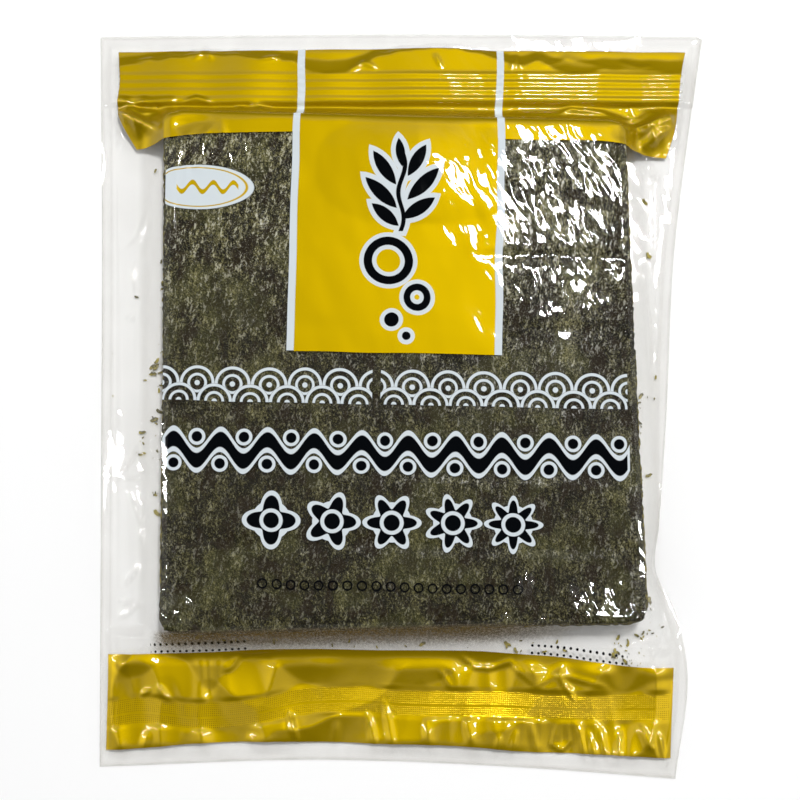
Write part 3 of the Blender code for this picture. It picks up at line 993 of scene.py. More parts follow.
class Shader:
    def __init__(self, name, owner=None):
        """The owner is a new material, or the world when the room is made."""
        self.owner = owner or bpy.data.materials.new(name)
        self.owner.use_nodes = True
        self.tree = self.owner.node_tree
        self.tree.nodes.clear()

    def node(self, kind, settings=None, inputs=None, output=0):
        node = self.tree.nodes.new(kind)
        for key, value in (settings or {}).items():
            setattr(node, key, value)
        for key, value in (inputs or {}).items():
            socket = node.inputs[key]
            if isinstance(value, Signal):
                self.tree.links.new(value.socket, socket)
            else:
                socket.default_value = value
        return Signal(self, node.outputs[output])

    def math(self, operation, *values, clamp=False):
        settings = {"operation": operation, "use_clamp": clamp}
        return self.node("ShaderNodeMath", settings, dict(enumerate(values)))

    def ramp(self, value, low, high):
        """0 below low, 1 above high and a smooth rise between."""
        settings = {"interpolation_type": "SMOOTHSTEP"}
        return self.node("ShaderNodeMapRange", settings, {"Value": value, "From Min": low, "From Max": high})

    def mix(self, factor, first, second):
        inputs = {"Factor": factor, 6: first, 7: second}
        return self.node("ShaderNodeMix", {"data_type": "RGBA", "clamp_factor": True}, inputs, output=2)

    def split(self, vector):
        node = self.tree.nodes.new("ShaderNodeSeparateXYZ")
        self.tree.links.new(vector.socket, node.inputs[0])
        return [Signal(self, output) for output in node.outputs]

    def noise(self, place, scale, detail=2.0, roughness=0.5, distortion=0.0):
        inputs = {"Vector": place, "Scale": scale, "Detail": detail}
        inputs.update({"Roughness": roughness, "Distortion": distortion})
        return self.node("ShaderNodeTexNoise", None, inputs)

    def scaled(self, place, factors):
        return self.node("ShaderNodeVectorMath", {"operation": "MULTIPLY"}, {0: place, 1: factors})

    def turned(self, place, degrees):
        inputs = {"Vector": place, "Angle": math.radians(degrees)}
        return self.node("ShaderNodeVectorRotate", {"rotation_type": "Z_AXIS"}, inputs)

    def millimetres(self):
        """The piece's own coordinates in millimetres."""
        return self.scaled(self.node("ShaderNodeTexCoord", output=3), (1000.0, 1000.0, 1000.0))

    def kept(self, name):
        """A number that the mesh keeps on each of its points."""
        return self.node("ShaderNodeAttribute", {"attribute_name": name}, output=2)

    def bump(self, height, distance, strength=1.0):
        inputs = {"Strength": strength, "Distance": distance, "Height": height}
        return self.node("ShaderNodeBump", None, inputs)

    def solid(self, inputs):
        return self.node("ShaderNodeBsdfPrincipled", None, inputs)

    def clear(self, red, green, blue):
        return self.node("ShaderNodeBsdfTransparent", None, {"Color": (red, green, blue, 1.0)})

    def blend(self, factor, first, second):
        """One surface over another."""
        return self.node("ShaderNodeMixShader", None, {0: factor, 1: first, 2: second})

    def finish(self, surface, output_kind="ShaderNodeOutputMaterial"):
        output = self.tree.nodes.new(output_kind)
        self.tree.links.new(surface.socket, output.inputs["Surface"])
        return self.owner


def rgb(red, green, blue):
    """A screen colour from 0 to 255 as the linear colour that shaders work in."""
    linear = [((c / 255 + 0.055) / 1.055) ** 2.4 if c > 10 else c / 255 / 12.92 for c in (red, green, blue)]
    return (*linear, 1.0)


# %% [markdown]
# ## The nori's finish
#
# Pressed seaweed is a felt of overlapping scraps: dark brown-green, with pale straw-coloured fibres and
# thin places. Several layers of noise at different sizes, stretched along the sheet, give the felt, and
# the same layers drive a bump so that light catches the fibres. The pale flecks are partly a painted
# sheen: they are painted strongest in the sheet's upper part, where the window's light glances off it,
# and the lower end is painted darker, as painted shade.

# %% Nori material


def make_nori_material():
    shader = Shader("roasted_nori")
    place = shader.millimetres()
    wandering = {"Vector": place, "Scale": 0.35, "Detail": 2.0}
    wander = shader.node("ShaderNodeTexNoise", None, wandering, output=1)
    bend = {0: wander, 1: (1.6, 1.6, 1.6), 2: place}
    bent = shader.node("ShaderNodeVectorMath", {"operation": "MULTIPLY_ADD"}, bend)
    grain = shader.noise(place, 1.9, 3.0, 0.7)
    felt = shader.noise(shader.scaled(shader.turned(bent, 10.0), (1.0, 0.55, 1.0)), 1.5, 2.0, 0.6)
    flecks = shader.noise(shader.scaled(shader.turned(bent, -34.0), (1.0, 0.42, 1.0)), 1.8, 2.0, 0.6)
    streaks = shader.noise(shader.scaled(shader.turned(bent, 7.0), (1.0, 0.34, 1.0)), 0.72, 2.0, 0.5)
    clumps = shader.noise(shader.scaled(place, (1.0, 0.6, 1.0)), 0.15, 3.0, 0.6)
    regions = shader.noise(place, 0.05, 2.0)
    threads = shader.ramp(abs(shader.noise(bent, 0.5, 1.0) - 0.5), 0.020, 0.004)
    # Towards the lower end the painted sheen fades, and the tone is painted darker as painted shade.
    lower_end_less_sheen = shader.ramp(shader.split(place)[1], 76.0, 0.0)
    combed = (streaks - 0.5) * (2.0 - lower_end_less_sheen * 1.2)
    detail = (felt - 0.5) * 1.7 + (flecks - 0.5) * 1.6 + (grain - 0.5) * 2.0 + combed
    tone = detail * (1.0 - lower_end_less_sheen * 0.25) + (clumps - 0.5) * 1.2 + (regions - 0.5) * 0.8
    tone = (tone + 0.40 - lower_end_less_sheen * 0.12).clamp()
    colour = shader.mix(tone**2.0, rgb(17, 14, 3), rgb(140, 134, 84))
    colour = shader.mix(shader.ramp(clumps, 0.48, 0.40) * 0.45, colour, rgb(44, 32, 14))
    colour = shader.mix(shader.ramp(regions, 0.50, 0.60) * 0.3, colour, rgb(60, 62, 24))
    # Pale scraps and fibres, partly a painted sheen from the window's light.
    pale_scraps_and_sheen = shader.ramp(streaks + (felt - 0.5) * 0.9, 0.60, 0.74)
    pale_and_sheen = pale_scraps_and_sheen.high(threads * shader.ramp(grain, 0.45, 0.60) * 0.8).high(shader.ramp(grain, 0.66, 0.76))
    # The pale mix is a painted sheen, strongest in the upper part of the sheet.
    colour = shader.mix(pale_and_sheen * (0.66 - lower_end_less_sheen * 0.52), colour, rgb(188, 186, 168))
    height = streaks + felt * 0.3 + clumps * 0.9
    inputs = {
        "Base Color": colour,
        "Roughness": 0.32,
        "Specular IOR Level": 0.05,
        "Normal": shader.bump(height, 1.2 * MM),
        "Coat Weight": pale_and_sheen * 0.5 + tone * 0.15,
        "Coat Roughness": 0.30,
    }
    return shader.finish(shader.solid(inputs))


def make_fringe_material():
    """The rims of the sheets below: thin, lit from behind and so more yellow."""
    shader = Shader("nori_rim")
    place = shader.millimetres()
    grain = shader.noise(shader.scaled(place, (1.0, 1.0, 2.5)), 0.8, 4.0, 0.7)
    colour = shader.mix(shader.ramp(grain, 0.36, 0.64), rgb(44, 38, 16), rgb(150, 138, 66))
    # Along the stack's lower edge the rims are painted darker: painted shade under the film that falls from
    # there.
    shaded_lower_edge = shader.ramp(shader.split(place)[1], -82.0, -88.0)
    colour = shader.mix(shaded_lower_edge * 0.8, colour, rgb(30, 26, 12))
    return shader.finish(shader.solid({"Base Color": colour, "Roughness": 0.6, "Specular IOR Level": 0.2}))


nori_material = make_nori_material()
fringe_material = make_fringe_material()

# %% [markdown]
# ## Stack the sheets
#
# A line of points stands upright, one for each sheet, and the slab is instanced on it with a small
# random turn and shift. The inputs are named, so the stack can be made taller or untidier by hand.

# %% The stack of sheets by Geometry Nodes

SHEET_COUNT = 49
LOWEST_SHEET = 0.35
ROOM_FOR_TOP_SHEET = 1.75
SHEET_PITCH = (NORI_TOP - ROOM_FOR_TOP_SHEET) / SHEET_COUNT
SHEET_TURN = math.radians(0.35)
SHEET_SHIFT = 0.8


def stack_tree():
    tree = NodeTree("stack_of_sheets")
    count = tree.ask("Sheets", "Int", SHEET_COUNT)
    pitch = tree.ask("Pitch", "Float", SHEET_PITCH * MM)
    turn = tree.ask("Turn", "Float", SHEET_TURN)
    shift = tree.ask("Shift", "Float", SHEET_SHIFT * MM)
    seed = tree.ask("Seed", "Int", 3)
    lowest = tree.vector(Z=LOWEST_SHEET * MM)
    upright = {"Count": count, "Start Location": lowest, "Offset": tree.vector(Z=pitch)}
    line = tree.add("GeometryNodeMeshLine", inputs=upright).outputs[0]
    spin = tree.vector(Z=tree.random_number(tree.minus(turn), turn, seed))
    back = tree.minus(shift)
    moved = tree.random_vector(tree.vector(X=back, Y=back), tree.vector(X=shift, Y=shift), seed)
    placed = tree.add("GeometryNodeSetPosition", inputs={"Geometry": line, "Offset": moved}).outputs[0]
    sheets = tree.copies(placed, tree.start.outputs["Geometry"], Rotation=spin)
    tree.finish(sheets, fringe_material)
    return tree


stack_tree().apply_to(under_sheets)
print("under sheets:", SHEET_COUNT, "faces:", len(under_sheets.data.polygons))

# %% [markdown]
# The top sheet is a closed slab with a fine grid for its face.

# %% The top sheet

TOP_SHEET_ROWS, TOP_SHEET_COLUMNS = 230, 208
CORNER_TUCK = 0.012


def nori_height(x, y):
    inside = inside_stack(x, y)
    height = NORI_TOP - 0.8 * EDGE_DROP * smooth_step(EDGE_DROP_WIDTH, 0.0, inside)
    height = height - groove_depth(x, y) * smooth_step(0.0, GROOVES_BEGIN_INSIDE, inside)
    height = height + creases(x, y, PLATEAU_DIPS)
    height = height + 0.12 * rough_field(x, y, 9.0, 11, 1.8, 25.0)
    return height + 0.09 * rough_field(x, y, 3.1, 22, 1.7, 8.0)


def top_sheet_footprint():
    """A grid over the sheet with its corners tucked in a little and its edge ragged."""
    rows, columns = TOP_SHEET_ROWS, TOP_SHEET_COLUMNS
    s, t = np.meshgrid(np.linspace(0.0, 1.0, columns), np.linspace(0.0, 1.0, rows))
    on_edge = np.maximum(np.abs(2 * s - 1), np.abs(2 * t - 1)) > 0.999
    corners = smooth_step(0.90, 1.0, np.abs(2 * s - 1)) * smooth_step(0.91, 1.0, np.abs(2 * t - 1))
    s = 0.5 + (s - 0.5) * (1.0 - CORNER_TUCK * corners)
    t = 0.5 + (t - 0.5) * (1.0 - CORNER_TUCK * corners)
    place = []
    for axis in (0, 1):
        low = STACK_BOTTOM_LEFT[axis] + (STACK_BOTTOM_RIGHT[axis] - STACK_BOTTOM_LEFT[axis]) * s
        high = STACK_TOP_LEFT[axis] + (STACK_TOP_RIGHT[axis] - STACK_TOP_LEFT[axis]) * s
        place.append(low * (1 - t) + high * t)
    x, y = place
    ragged = 0.3 * rough_field(x, y, 1.7, 61) * on_edge
    return x + ragged * np.sign(s - 0.5), y + ragged * np.sign(t - 0.5)


def make_top_sheet():
    x, y = top_sheet_footprint()
    points = np.stack([x.ravel(), y.ravel(), nori_height(x, y).ravel()], axis=1)
    ring = ring_indices(*x.shape)
    lower = points[ring] - (0.0, 0.0, SHEET_THICKNESS)
    start, count = len(points), len(ring)
    faces = grid_faces(np.arange(start).reshape(x.shape))
    faces += [(ring[i], start + i, start + (i + 1) % count, ring[(i + 1) % count]) for i in range(count)]
    faces.append(tuple(start + i for i in reversed(range(count))))
    mesh = bpy.data.meshes.new("top_sheet")
    mesh.from_pydata((np.concatenate([points, lower]) * MM).tolist(), [], faces)
    mesh.shade_smooth()
    mesh.materials.append(nori_material)
    return link("top_sheet", mesh)


top_sheet = make_top_sheet()
print("top sheet faces:", len(top_sheet.data.polygons))

# %% [markdown]
# ## The printed film
#
# The ink is a set of masks on the flat film's coordinates. Each shape is a distance: negative inside,
# positive outside. Minimum joins shapes, adding to a distance shrinks it, and taking away grows it, so
# a white halo is the same distance as its black figure, grown by a millimetre or two.

# %% Distance shapes for the print


class Print(Shader):
    def __init__(self, name):
        super().__init__(name)
        flat = self.node("ShaderNodeUVMap", {"uv_map": "flat_film"})
        self.u, self.v = self.split(flat)[:2]

    def ink(self, distance, soft=0.22):
        """A distance as a mask with a crisp edge."""
        return self.math("ADD", distance * (-1.0 / soft), 0.5, clamp=True)

    def box(self, u, v, middle, half):
        return (abs(u - middle[0]) - half[0]).high(abs(v - middle[1]) - half[1])

    def radius(self, u, v):
        return self.math("SQRT", u * u + v * v)

    def disc(self, u, v, middle, radius):
        return self.radius(u - middle[0], v - middle[1]) - radius

    def ellipse(self, u, v, middle, half):
        reach = self.radius((u - middle[0]) / half[0], (v - middle[1]) / half[1])
        return (reach - 1.0) * min(half)

    def repeat(self, value, pitch):
        """The distance from the middle of the nearest of evenly spaced cells, and that cell's number."""
        cell = self.math("ROUND", value / pitch)
        return value - cell * pitch, cell

    def join(self, *distances):
        joined = distances[0]
        for distance in distances[1:]:
            joined = joined.low(distance)
        return joined


# %% [markdown]
# The print is made of plain motifs: a row of thin arcs like fish scales, a bold wave with dots, five
# flowers, a row of faint rings, two rows of small dots, and a sprig of seaweed with bubbles on the gold
# panel. An oval with a small wave sits at the left, where the film bends over the stack's edge.

# %% The shapes of the print

LEAVES = (
    ((-5.2, 69.5), -52.0, 7.4, 2.5),
    ((8.4, 72.5), 56.0, 8.0, 2.7),
    ((-7.0, 78.5), -46.0, 9.0, 2.8),
    ((10.0, 82.5), 44.0, 9.2, 2.8),
    ((-5.8, 88.5), -36.0, 8.2, 2.5),
    ((7.4, 92.0), 30.0, 7.6, 2.4),
    ((0.6, 95.0), -8.0, 6.0, 1.9),
)
STRIPE_LEFT, STRIPE_RIGHT = -42.3, 41.8
STRIPE_HALF_WIDTH = 1.5
PANEL_BOTTOM = 12.6
GOLD_LEFT, GOLD_RIGHT = -40.8, 40.3
OVAL_MIDDLE, OVAL_HALF = (-82.2, 79.6), (23.2, 9.4)
OVAL_CUT_OFF_AT = -97.0
OVAL_WAVE_MIDDLE, OVAL_WAVE_HALF_LENGTH = -78.0, 12.6
FAINT_RINGS_AT, SMALL_DOTS_AT = -80.7, -103.7
RING_BUBBLES = (((-3.4, 50.5), 8.2, 1.7), ((8.4, 35.5), 4.2, 1.4))
FULL_BUBBLES = (((-1.8, 26.0), 2.9), ((4.2, 19.5), 1.7))
WAVE_HALO, SPRIG_HALO, BUBBLE_HALO = 1.25, 1.9, 1.7


def gold_shapes(p):
    top_band = p.box(p.u, p.v, (0.0, (TOP_LOW + TOP_HIGH) / 2), (PRINT_SIDE, (TOP_HIGH - TOP_LOW) / 2))
    panel_middle = ((GOLD_LEFT + GOLD_RIGHT) / 2, (PANEL_BOTTOM + TOP_HIGH) / 2)
    panel = p.box(p.u, p.v, panel_middle, ((GOLD_RIGHT - GOLD_LEFT) / 2, (TOP_HIGH - PANEL_BOTTOM) / 2))
    low_band = p.box(p.u, p.v, (0.0, (BAND_LOW + BAND_HIGH) / 2), (PRINT_SIDE, (BAND_HIGH - BAND_LOW) / 2))
    return p.join(top_band, panel, low_band)


def stripe_shapes(p):
    middle = (PANEL_BOTTOM + TOP_HIGH) / 2
    half = (STRIPE_HALF_WIDTH, (TOP_HIGH - PANEL_BOTTOM) / 2)
    left = p.box(p.u, p.v, (STRIPE_LEFT, middle + 0.3), half)
    right = p.box(p.u, p.v, (STRIPE_RIGHT, middle), half)
    return p.join(left, right)


def scale_row(p):
    """Two rows of thin arcs that overlap like fish scales, with a gap between its two halves."""
    centre, base, pitch = 0.1, -8.4, 14.4
    scale_radius = pitch / 2
    outer, inner, dot = 6.55, 3.5, 1.1
    half_length, half_height = 93.6, 7.5
    near_u, _ = p.repeat(p.u - centre, pitch)
    near = p.radius(near_u, p.v - base)
    far_u, _ = p.repeat(p.u - centre + pitch / 2, pitch)
    far = p.radius(far_u, p.v - base - scale_radius)

    def arcs(reach):
        """Two thin rings round a dot."""
        return (abs(reach - outer) - 0.6).low(abs(reach - inner) - 0.55).low(reach - dot)

    row = arcs(near).low(arcs(far).high(scale_radius - near))
    gap = 1.7 - abs(p.u + 7.1)
    whole = p.box(p.u, p.v, (centre, base + half_height), (half_length, half_height))
    return row.high(whole).high(gap)


def wave_row(p):
    """A bold wave with a dot in each hollow."""
    centre, middle, pitch, swing, half_length = 1.4, -27.9, 18.72, 4.3, 92.4
    dot_away, dot_radius = 5.3, 2.1
    line = p.math("SINE", (p.u - centre) * (2 * math.pi / pitch)) * swing
    wave = abs(p.v - middle - line) * 0.62 - 1.9
    crest_u, _ = p.repeat(p.u - centre - pitch / 4, pitch)
    trough_u, _ = p.repeat(p.u - centre + pitch / 4, pitch)
    low_dot = p.radius(crest_u, p.v - middle + dot_away) - dot_radius
    high_dot = p.radius(trough_u, p.v - middle - dot_away) - dot_radius
    return p.join(wave, low_dot, high_dot).high(abs(p.u - centre) - half_length)


def flower_row(p):
    """Five flowers, with from four to eight petals, each with an even white edge."""
    centre, middle, pitch, half_length = 0.3, -55.3, 24.0, 59.9
    middle_count, size, petal, eye = 6.0, 7.5, 2.3, 3.9
    near_u, cell = p.repeat(p.u - centre, pitch)
    down = p.v - middle
    angle = p.math("ARCTAN2", down, near_u)
    petals = p.math("COSINE", angle * (cell + middle_count))
    reach = p.radius(near_u, down)
    outline = reach - (size + petals * petal)
    ring = abs(reach - eye) - 0.75
    within = abs(p.u - centre) - half_length
    return (outline * 0.8).high(-1.0 * ring).high(within), (outline - 1.9).low(reach - 7.8).high(within)


def leaf(p, middle, lean, length, width):
    """Where two discs overlap: a leaf with two pointed ends."""
    along = (p.u - middle[0]) * sine(lean) + (p.v - middle[1]) * cosine(lean)
    across = (p.u - middle[0]) * cosine(lean) - (p.v - middle[1]) * sine(lean)
    radius = (length**2 + width**2) / (2.0 * width)
    shift = radius - width
    return (p.radius(across - shift, along) - radius).high(p.radius(across + shift, along) - radius)


def sprig_shapes(p):
    """A wavy stem with leaves that lean out to either side."""
    stem = abs(p.u - 1.2 - p.math("SINE", (p.v - 62.0) * 0.28) * 1.3) - 0.9
    sprig = stem.high(62.8 - p.v).high(p.v - 97.0)
    for middle, lean, length, width in LEAVES:
        sprig = sprig.low(leaf(p, middle, lean, length, width))
    return sprig


def bubble_shapes(p):
    rings = [abs(p.disc(p.u, p.v, middle, radius)) - half for middle, radius, half in RING_BUBBLES]
    full = [p.disc(p.u, p.v, middle, radius) for middle, radius in FULL_BUBBLES]
    return p.join(*rings, *full)


def oval_shapes(p):
    """The white oval, cut off at its left end, and the gold line and wave on it."""
    cut_off = OVAL_CUT_OFF_AT - p.u
    oval = p.ellipse(p.u, p.v, OVAL_MIDDLE, OVAL_HALF)
    line = (abs(oval + 1.2) - 0.25).high(cut_off)
    along = p.u - OVAL_WAVE_MIDDLE
    wave = abs(p.v - OVAL_MIDDLE[1] - p.math("SINE", along * 0.75) * 2.0) * 0.75 - 0.8
    return oval.high(cut_off), p.join(line, wave.high(abs(along) - OVAL_WAVE_HALF_LENGTH))


def small_marks(p):
    """A row of faint rings under the flowers, and two rows of small dots at each side below it."""
    ring_u, _ = p.repeat(p.u, 5.6)
    rings = (abs(p.radius(ring_u, p.v - FAINT_RINGS_AT) - 1.7) - 0.3).high(abs(p.u) - 53.1)
    away = abs(p.v - SMALL_DOTS_AT)
    dot_u, _ = p.repeat(p.u, 2.6)
    beside = (abs(abs(p.u) - 76.0) - 20.0).high(away - 2.6)
    return p.join(rings, (p.radius(dot_u, away - 1.5) - 0.55).high(beside))


# %% [markdown]
# ## The film's shader
#
# Clear film lets nearly all light through and mirrors a little, more at a slant. Ink is printed on the
# inner side, so the same mirror lies over clear and inked film alike: one Glossy node is mixed over the
# body by how much the surface faces the eye. Gold ink is partly metallic, and a fine bump adds the
# crinkle that is too small for the mesh.

# %% Film materials


def film_bump(p):
    """Crinkles too small for the mesh, strongest where the film lies slack over the sheets."""
    slanted = p.scaled(p.turned(p.millimetres(), -30.0), (1.0, 0.5, 1.0))
    crinkle = p.noise(slanted, 0.20, 1.0, 0.4, 0.3)
    return p.bump(crinkle * p.kept("slack") * 0.65, 0.8 * MM)


def clear_body(p):
    """Clear film without its gloss: nearly all light passes, less where the film is cloudy and dusty, and
    where shade is painted on it.
    """
    dust = p.kept("dust")
    cloud = p.noise(p.scaled(p.millimetres(), (1.0, 0.6, 1.0)), 0.12, 3.0, 0.6)
    specks = p.noise(p.millimetres(), 1.1, 3.0, 0.7)
    # Specks of dust over a painted brown shade under the stack's lower edge.
    dusty_and_shaded = dust * (p.ramp(specks, 0.38, 0.62) * 0.55 + 0.25)
    veil_and_shade_colour = p.mix(dust.math("SQRT"), rgb(178, 172, 160), rgb(108, 86, 36))
    veil = p.solid({"Base Color": veil_and_shade_colour, "Roughness": 0.6})
    return p.blend(p.kept("haze") * (cloud + 0.5) + dusty_and_shaded, p.clear(0.985, 0.984, 0.979), veil)


def glossy(p, body, normal):
    """A clear, smooth skin over the body: it mirrors little from the front and more at a slant."""
    facing = p.node("ShaderNodeLayerWeight", None, {"Blend": 0.5, "Normal": normal}, output=1)
    polish = {"Color": (1.0, 1.0, 1.0, 1.0), "Roughness": 0.03, "Normal": normal}
    mirror = p.node("ShaderNodeBsdfGlossy", None, polish)
    return p.blend(0.018 + facing**5.0 * 0.6, body, mirror)


def inked_film(p, covered, colour, metallic):
    """Ink where the film is covered and clear film elsewhere, all under one gloss."""
    ink = {"Base Color": colour, "Metallic": metallic, "Roughness": 0.47, "Specular IOR Level": 0.0}
    return p.finish(glossy(p, p.blend(covered, clear_body(p), p.solid(ink)), film_bump(p)))


GOLD_INK = rgb(150, 125, 0)
WHITE_INK = rgb(204, 212, 216)
BLACK_INK = rgb(5, 7, 10)


def make_front_film():
    p = Print("printed_film")
    gold_distance = gold_shapes(p)
    gold = p.ink(gold_distance)
    stripes_and_scales = p.join(stripe_shapes(p), scale_row(p))
    wave = wave_row(p)
    flowers, flower_halo = flower_row(p)
    sprig = sprig_shapes(p)
    bubbles = bubble_shapes(p)
    black = p.ink(p.join(wave, flowers, sprig, bubbles))
    halo = p.join(wave - WAVE_HALO, flower_halo, sprig - SPRIG_HALO, bubbles - BUBBLE_HALO)
    oval, oval_marks = oval_shapes(p)
    white = p.ink(p.join(stripes_and_scales, halo, oval))
    gold_on_oval = p.ink(oval_marks)
    marks = small_marks(p)
    on_gold = p.ink(gold_distance - 0.4) * (1.0 - white)
    colour = p.mix(on_gold, WHITE_INK, GOLD_INK)
    colour = p.mix(gold_on_oval, colour, GOLD_INK)
    colour = p.mix(black.high(p.ink(marks - 0.3)), colour, BLACK_INK)
    metallic = on_gold.high(gold_on_oval) * (1.0 - black) * 0.55
    return inked_film(p, gold.high(white).high(black).high(p.ink(marks)), colour, metallic)


def make_back_film():
    """The back has the gold bands' other side, and a white panel with a frame line and a wave."""
    p = Print("back_film")
    bands = p.join(
        p.box(p.u, p.v, (0.0, 128.0), (PRINT_SIDE - 9.0, 12.0)),
        p.box(p.u, p.v, (0.0, -127.0), (PRINT_SIDE - 14.0, 14.0)),
    )
    gold = p.ink(bands)
    panel_distance = p.box(p.u, p.v, (0.0, 10.0), (62.0, 70.0))
    panel = p.ink(panel_distance)
    frame_line = p.ink(abs(panel_distance + 4.0) - 0.8)
    wave = abs(p.v - 60.0 - p.math("SINE", p.u * 0.35) * 2.4) * 0.8 - 1.0
    wave = p.ink(wave.high(abs(p.u) - 45.0))
    colour = p.mix(panel, GOLD_INK, WHITE_INK)
    colour = p.mix(frame_line.high(wave), colour, GOLD_INK)
    metallic = gold.high(frame_line).high(wave) * 0.55
    return inked_film(p, gold.high(panel), colour, metallic)


bag_film.data.materials.append(make_front_film())
bag_film.data.materials.append(make_back_film())

# %% [markdown]
# ## The pressed seal
#
# The sealing jaw leaves a fine waffle of dots across the bottom band. They are far smaller than the
# film's mesh, so they are small pyramids of ink-coloured film, stood on a strip of points by Geometry
# Nodes. The strip follows the film, so the dots ride over its buckles.

# %% Dots of the seal

SEAL_STARTS, SEAL_ENDS = -111.0, 112.5
DOT_PITCH = 0.82
DOT_WIDTH = 0.56
DOT_TIP = 0.08
DOT_HEIGHT = 0.052
DOT_SUNK = 0.015
DOT_TURN = 0.74
DOT_SLANT = 0.05
HALF_DIAGONAL = 0.7
DOT_ROWS = (-4.9, -4.1, -3.3, -2.5, -1.7, -0.2, 0.6, 1.4, 2.2, 3.0, 3.8, 4.6)


def make_pressed_gold():
    p = Print("pressed_gold")
    colour = p.mix(p.noise(p.millimetres(), 0.4, 2.0), rgb(132, 106, 0), rgb(180, 150, 8))
    inputs = {"Base Color": colour, "Metallic": 0.7, "Roughness": 0.24, "Specular IOR Level": 0.2}
    return p.finish(p.solid(inputs))


def make_seal_dots():
    x, offset = np.meshgrid(np.arange(SEAL_STARTS, SEAL_ENDS, DOT_PITCH), DOT_ROWS)
    x = (x + DOT_SLANT * DOT_PITCH * offset).ravel()
    y = SEAL_MIDDLE(x) + offset.ravel()
    z = film_height(x, y) - DOT_SUNK
    strip = bpy.data.meshes.new("seal_dots")
    strip.from_pydata((np.stack([x, y, z], axis=1) * MM).tolist(), [], [])
    tree = NodeTree("dots_on_strip")
    radius = tree.ask("Radius", "Float", DOT_WIDTH * MM * HALF_DIAGONAL)
    height = tree.ask("Height", "Float", DOT_HEIGHT * MM)
    four_sides = {"Vertices": 4, "Radius Top": DOT_TIP * MM, "Radius Bottom": radius, "Depth": height}
    cone = tree.add("GeometryNodeMeshCone", {"fill_type": "NGON"}, four_sides).outputs[0]
    dots = tree.copies(tree.start.outputs["Geometry"], cone, Rotation=(0.0, 0.0, DOT_TURN))
    tree.finish(dots, make_pressed_gold())
    return tree.apply_to(link("seal_dots", strip))


seal_dots = make_seal_dots()
print("seal dots faces:", len(seal_dots.data.polygons))

# %% [markdown]
# ## The zip
#
# Under the printed film run the zip's clear rails, two on each side of its middle. They show in the clear
# strips beside the gold, where the bag's sides are sealed. Each is a line that Geometry Nodes sweeps with
# a round profile.

# %% Zip rails

RAIL_OFFSETS = (-5.2, -1.8, 1.8, 5.2)
RAIL_RADIUS = 0.55
RAIL_END = 119.0
RAIL_POINTS = 120
RAIL_BELOW_FILM = 0.25


def make_rail_material():
    p = Shader("clear_rail")
    facing = p.node("ShaderNodeLayerWeight", None, {"Blend": 0.5}, output=1)
    cloud = p.noise(p.millimetres(), 0.4, 2.0)
    body = p.solid({"Base Color": rgb(226, 226, 220), "Roughness": 0.15})
    return p.finish(p.blend(facing * 0.2 + cloud * 0.1, p.clear(0.97, 0.97, 0.96), body))


def make_zip_rails():
    x = np.linspace(-RAIL_END, RAIL_END, RAIL_POINTS)
    points, edges = [], []
    for offset in RAIL_OFFSETS:
        y = zip_middle(x) + offset
        z = film_height(x, y) - RAIL_RADIUS - RAIL_BELOW_FILM
        first = len(points)
        points += np.stack([x, y, z], axis=1).tolist()
        edges += [(first + i, first + i + 1) for i in range(len(x) - 1)]
    line = bpy.data.meshes.new("zip_rails")
    line.from_pydata((np.array(points) * MM).tolist(), edges, [])
    tree = NodeTree("rails_on_lines")
    radius = tree.ask("Radius", "Float", RAIL_RADIUS * MM)
    path = tree.add("GeometryNodeMeshToCurve", inputs={"Mesh": tree.start.outputs["Geometry"]}).outputs[0]
    circle = {"Resolution": 10, "Radius": radius}
    profile = tree.add("GeometryNodeCurvePrimitiveCircle", inputs=circle).outputs[0]
    sweep = {"Curve": path, "Profile Curve": profile, "Fill Caps": True}
    tree.finish(tree.add("GeometryNodeCurveToMesh", inputs=sweep).outputs[0], make_rail_material())
    return tree.apply_to(link("zip_rails", line))


zip_rails = make_zip_rails()
print("zip rails faces:", len(zip_rails.data.polygons))

# %% [markdown]
# ## Crumbs
#
# Roasted sheets shed flakes, and they gather where the bag was last tipped: mostly at the lower right
# corner, with a few along the stack's edges. Small flat patches just over the back film carry a density,
# and one flake is scattered over them with random turns and sizes.

# %% Crumbs scattered by Geometry Nodes

CRUMB_PATCHES = (
    ((88.0, 103.0), (-111.0, -98.0), 0.16),
    ((101.0, 111.0), (-100.0, -84.0), 0.10),
    ((40.0, 88.0), (-106.0, -101.0), 0.05),
    ((-80.0, 40.0), (-105.0, -102.0), 0.035),
    ((-104.5, -100.5), (-30.0, -20.0), 0.18),
    ((-101.0, -98.5), (0.0, 8.0), 0.25),
    ((-98.5, -95.5), (-60.0, 60.0), 0.12),
    ((99.5, 102.0), (-75.0, 0.0), 0.10),
    ((-118.0, -98.0), (-70.0, 60.0), 0.003),
    ((100.0, 109.0), (-60.0, 90.0), 0.006),
    ((-105.0, -90.0), (86.0, 96.0), 0.02),
)
PER_SQUARE_METRE = 1e6
CRUMB_Z = 0.75
CRUMB_SMALLEST, CRUMB_LARGEST = 0.25, 2.1
CRUMB_TILT, CRUMB_TURN = 0.35, 3.14
MOSTLY_SMALL = 2.2
FLAKE_THICKNESS = 0.12
FLAKE_OUTLINE = (
    (-0.9, -0.2), (-0.3, -0.5), (0.4, -0.35), (1.0, 0.05), (0.5, 0.4), (-0.1, 0.25), (-0.7, 0.35),
)


def make_crumb_material():
    p = Shader("nori_crumb")
    place = p.millimetres()
    tint = p.noise(place, 0.5, 2.0)
    speck = p.noise(place, 3.0, 2.0)
    colour = p.mix(p.ramp(tint, 0.38, 0.62), rgb(74, 64, 26), rgb(176, 160, 62))
    colour = p.mix(speck * 0.5, colour, rgb(96, 98, 30))
    return p.finish(p.solid({"Base Color": colour, "Roughness": 0.55, "Specular IOR Level": 0.3}))


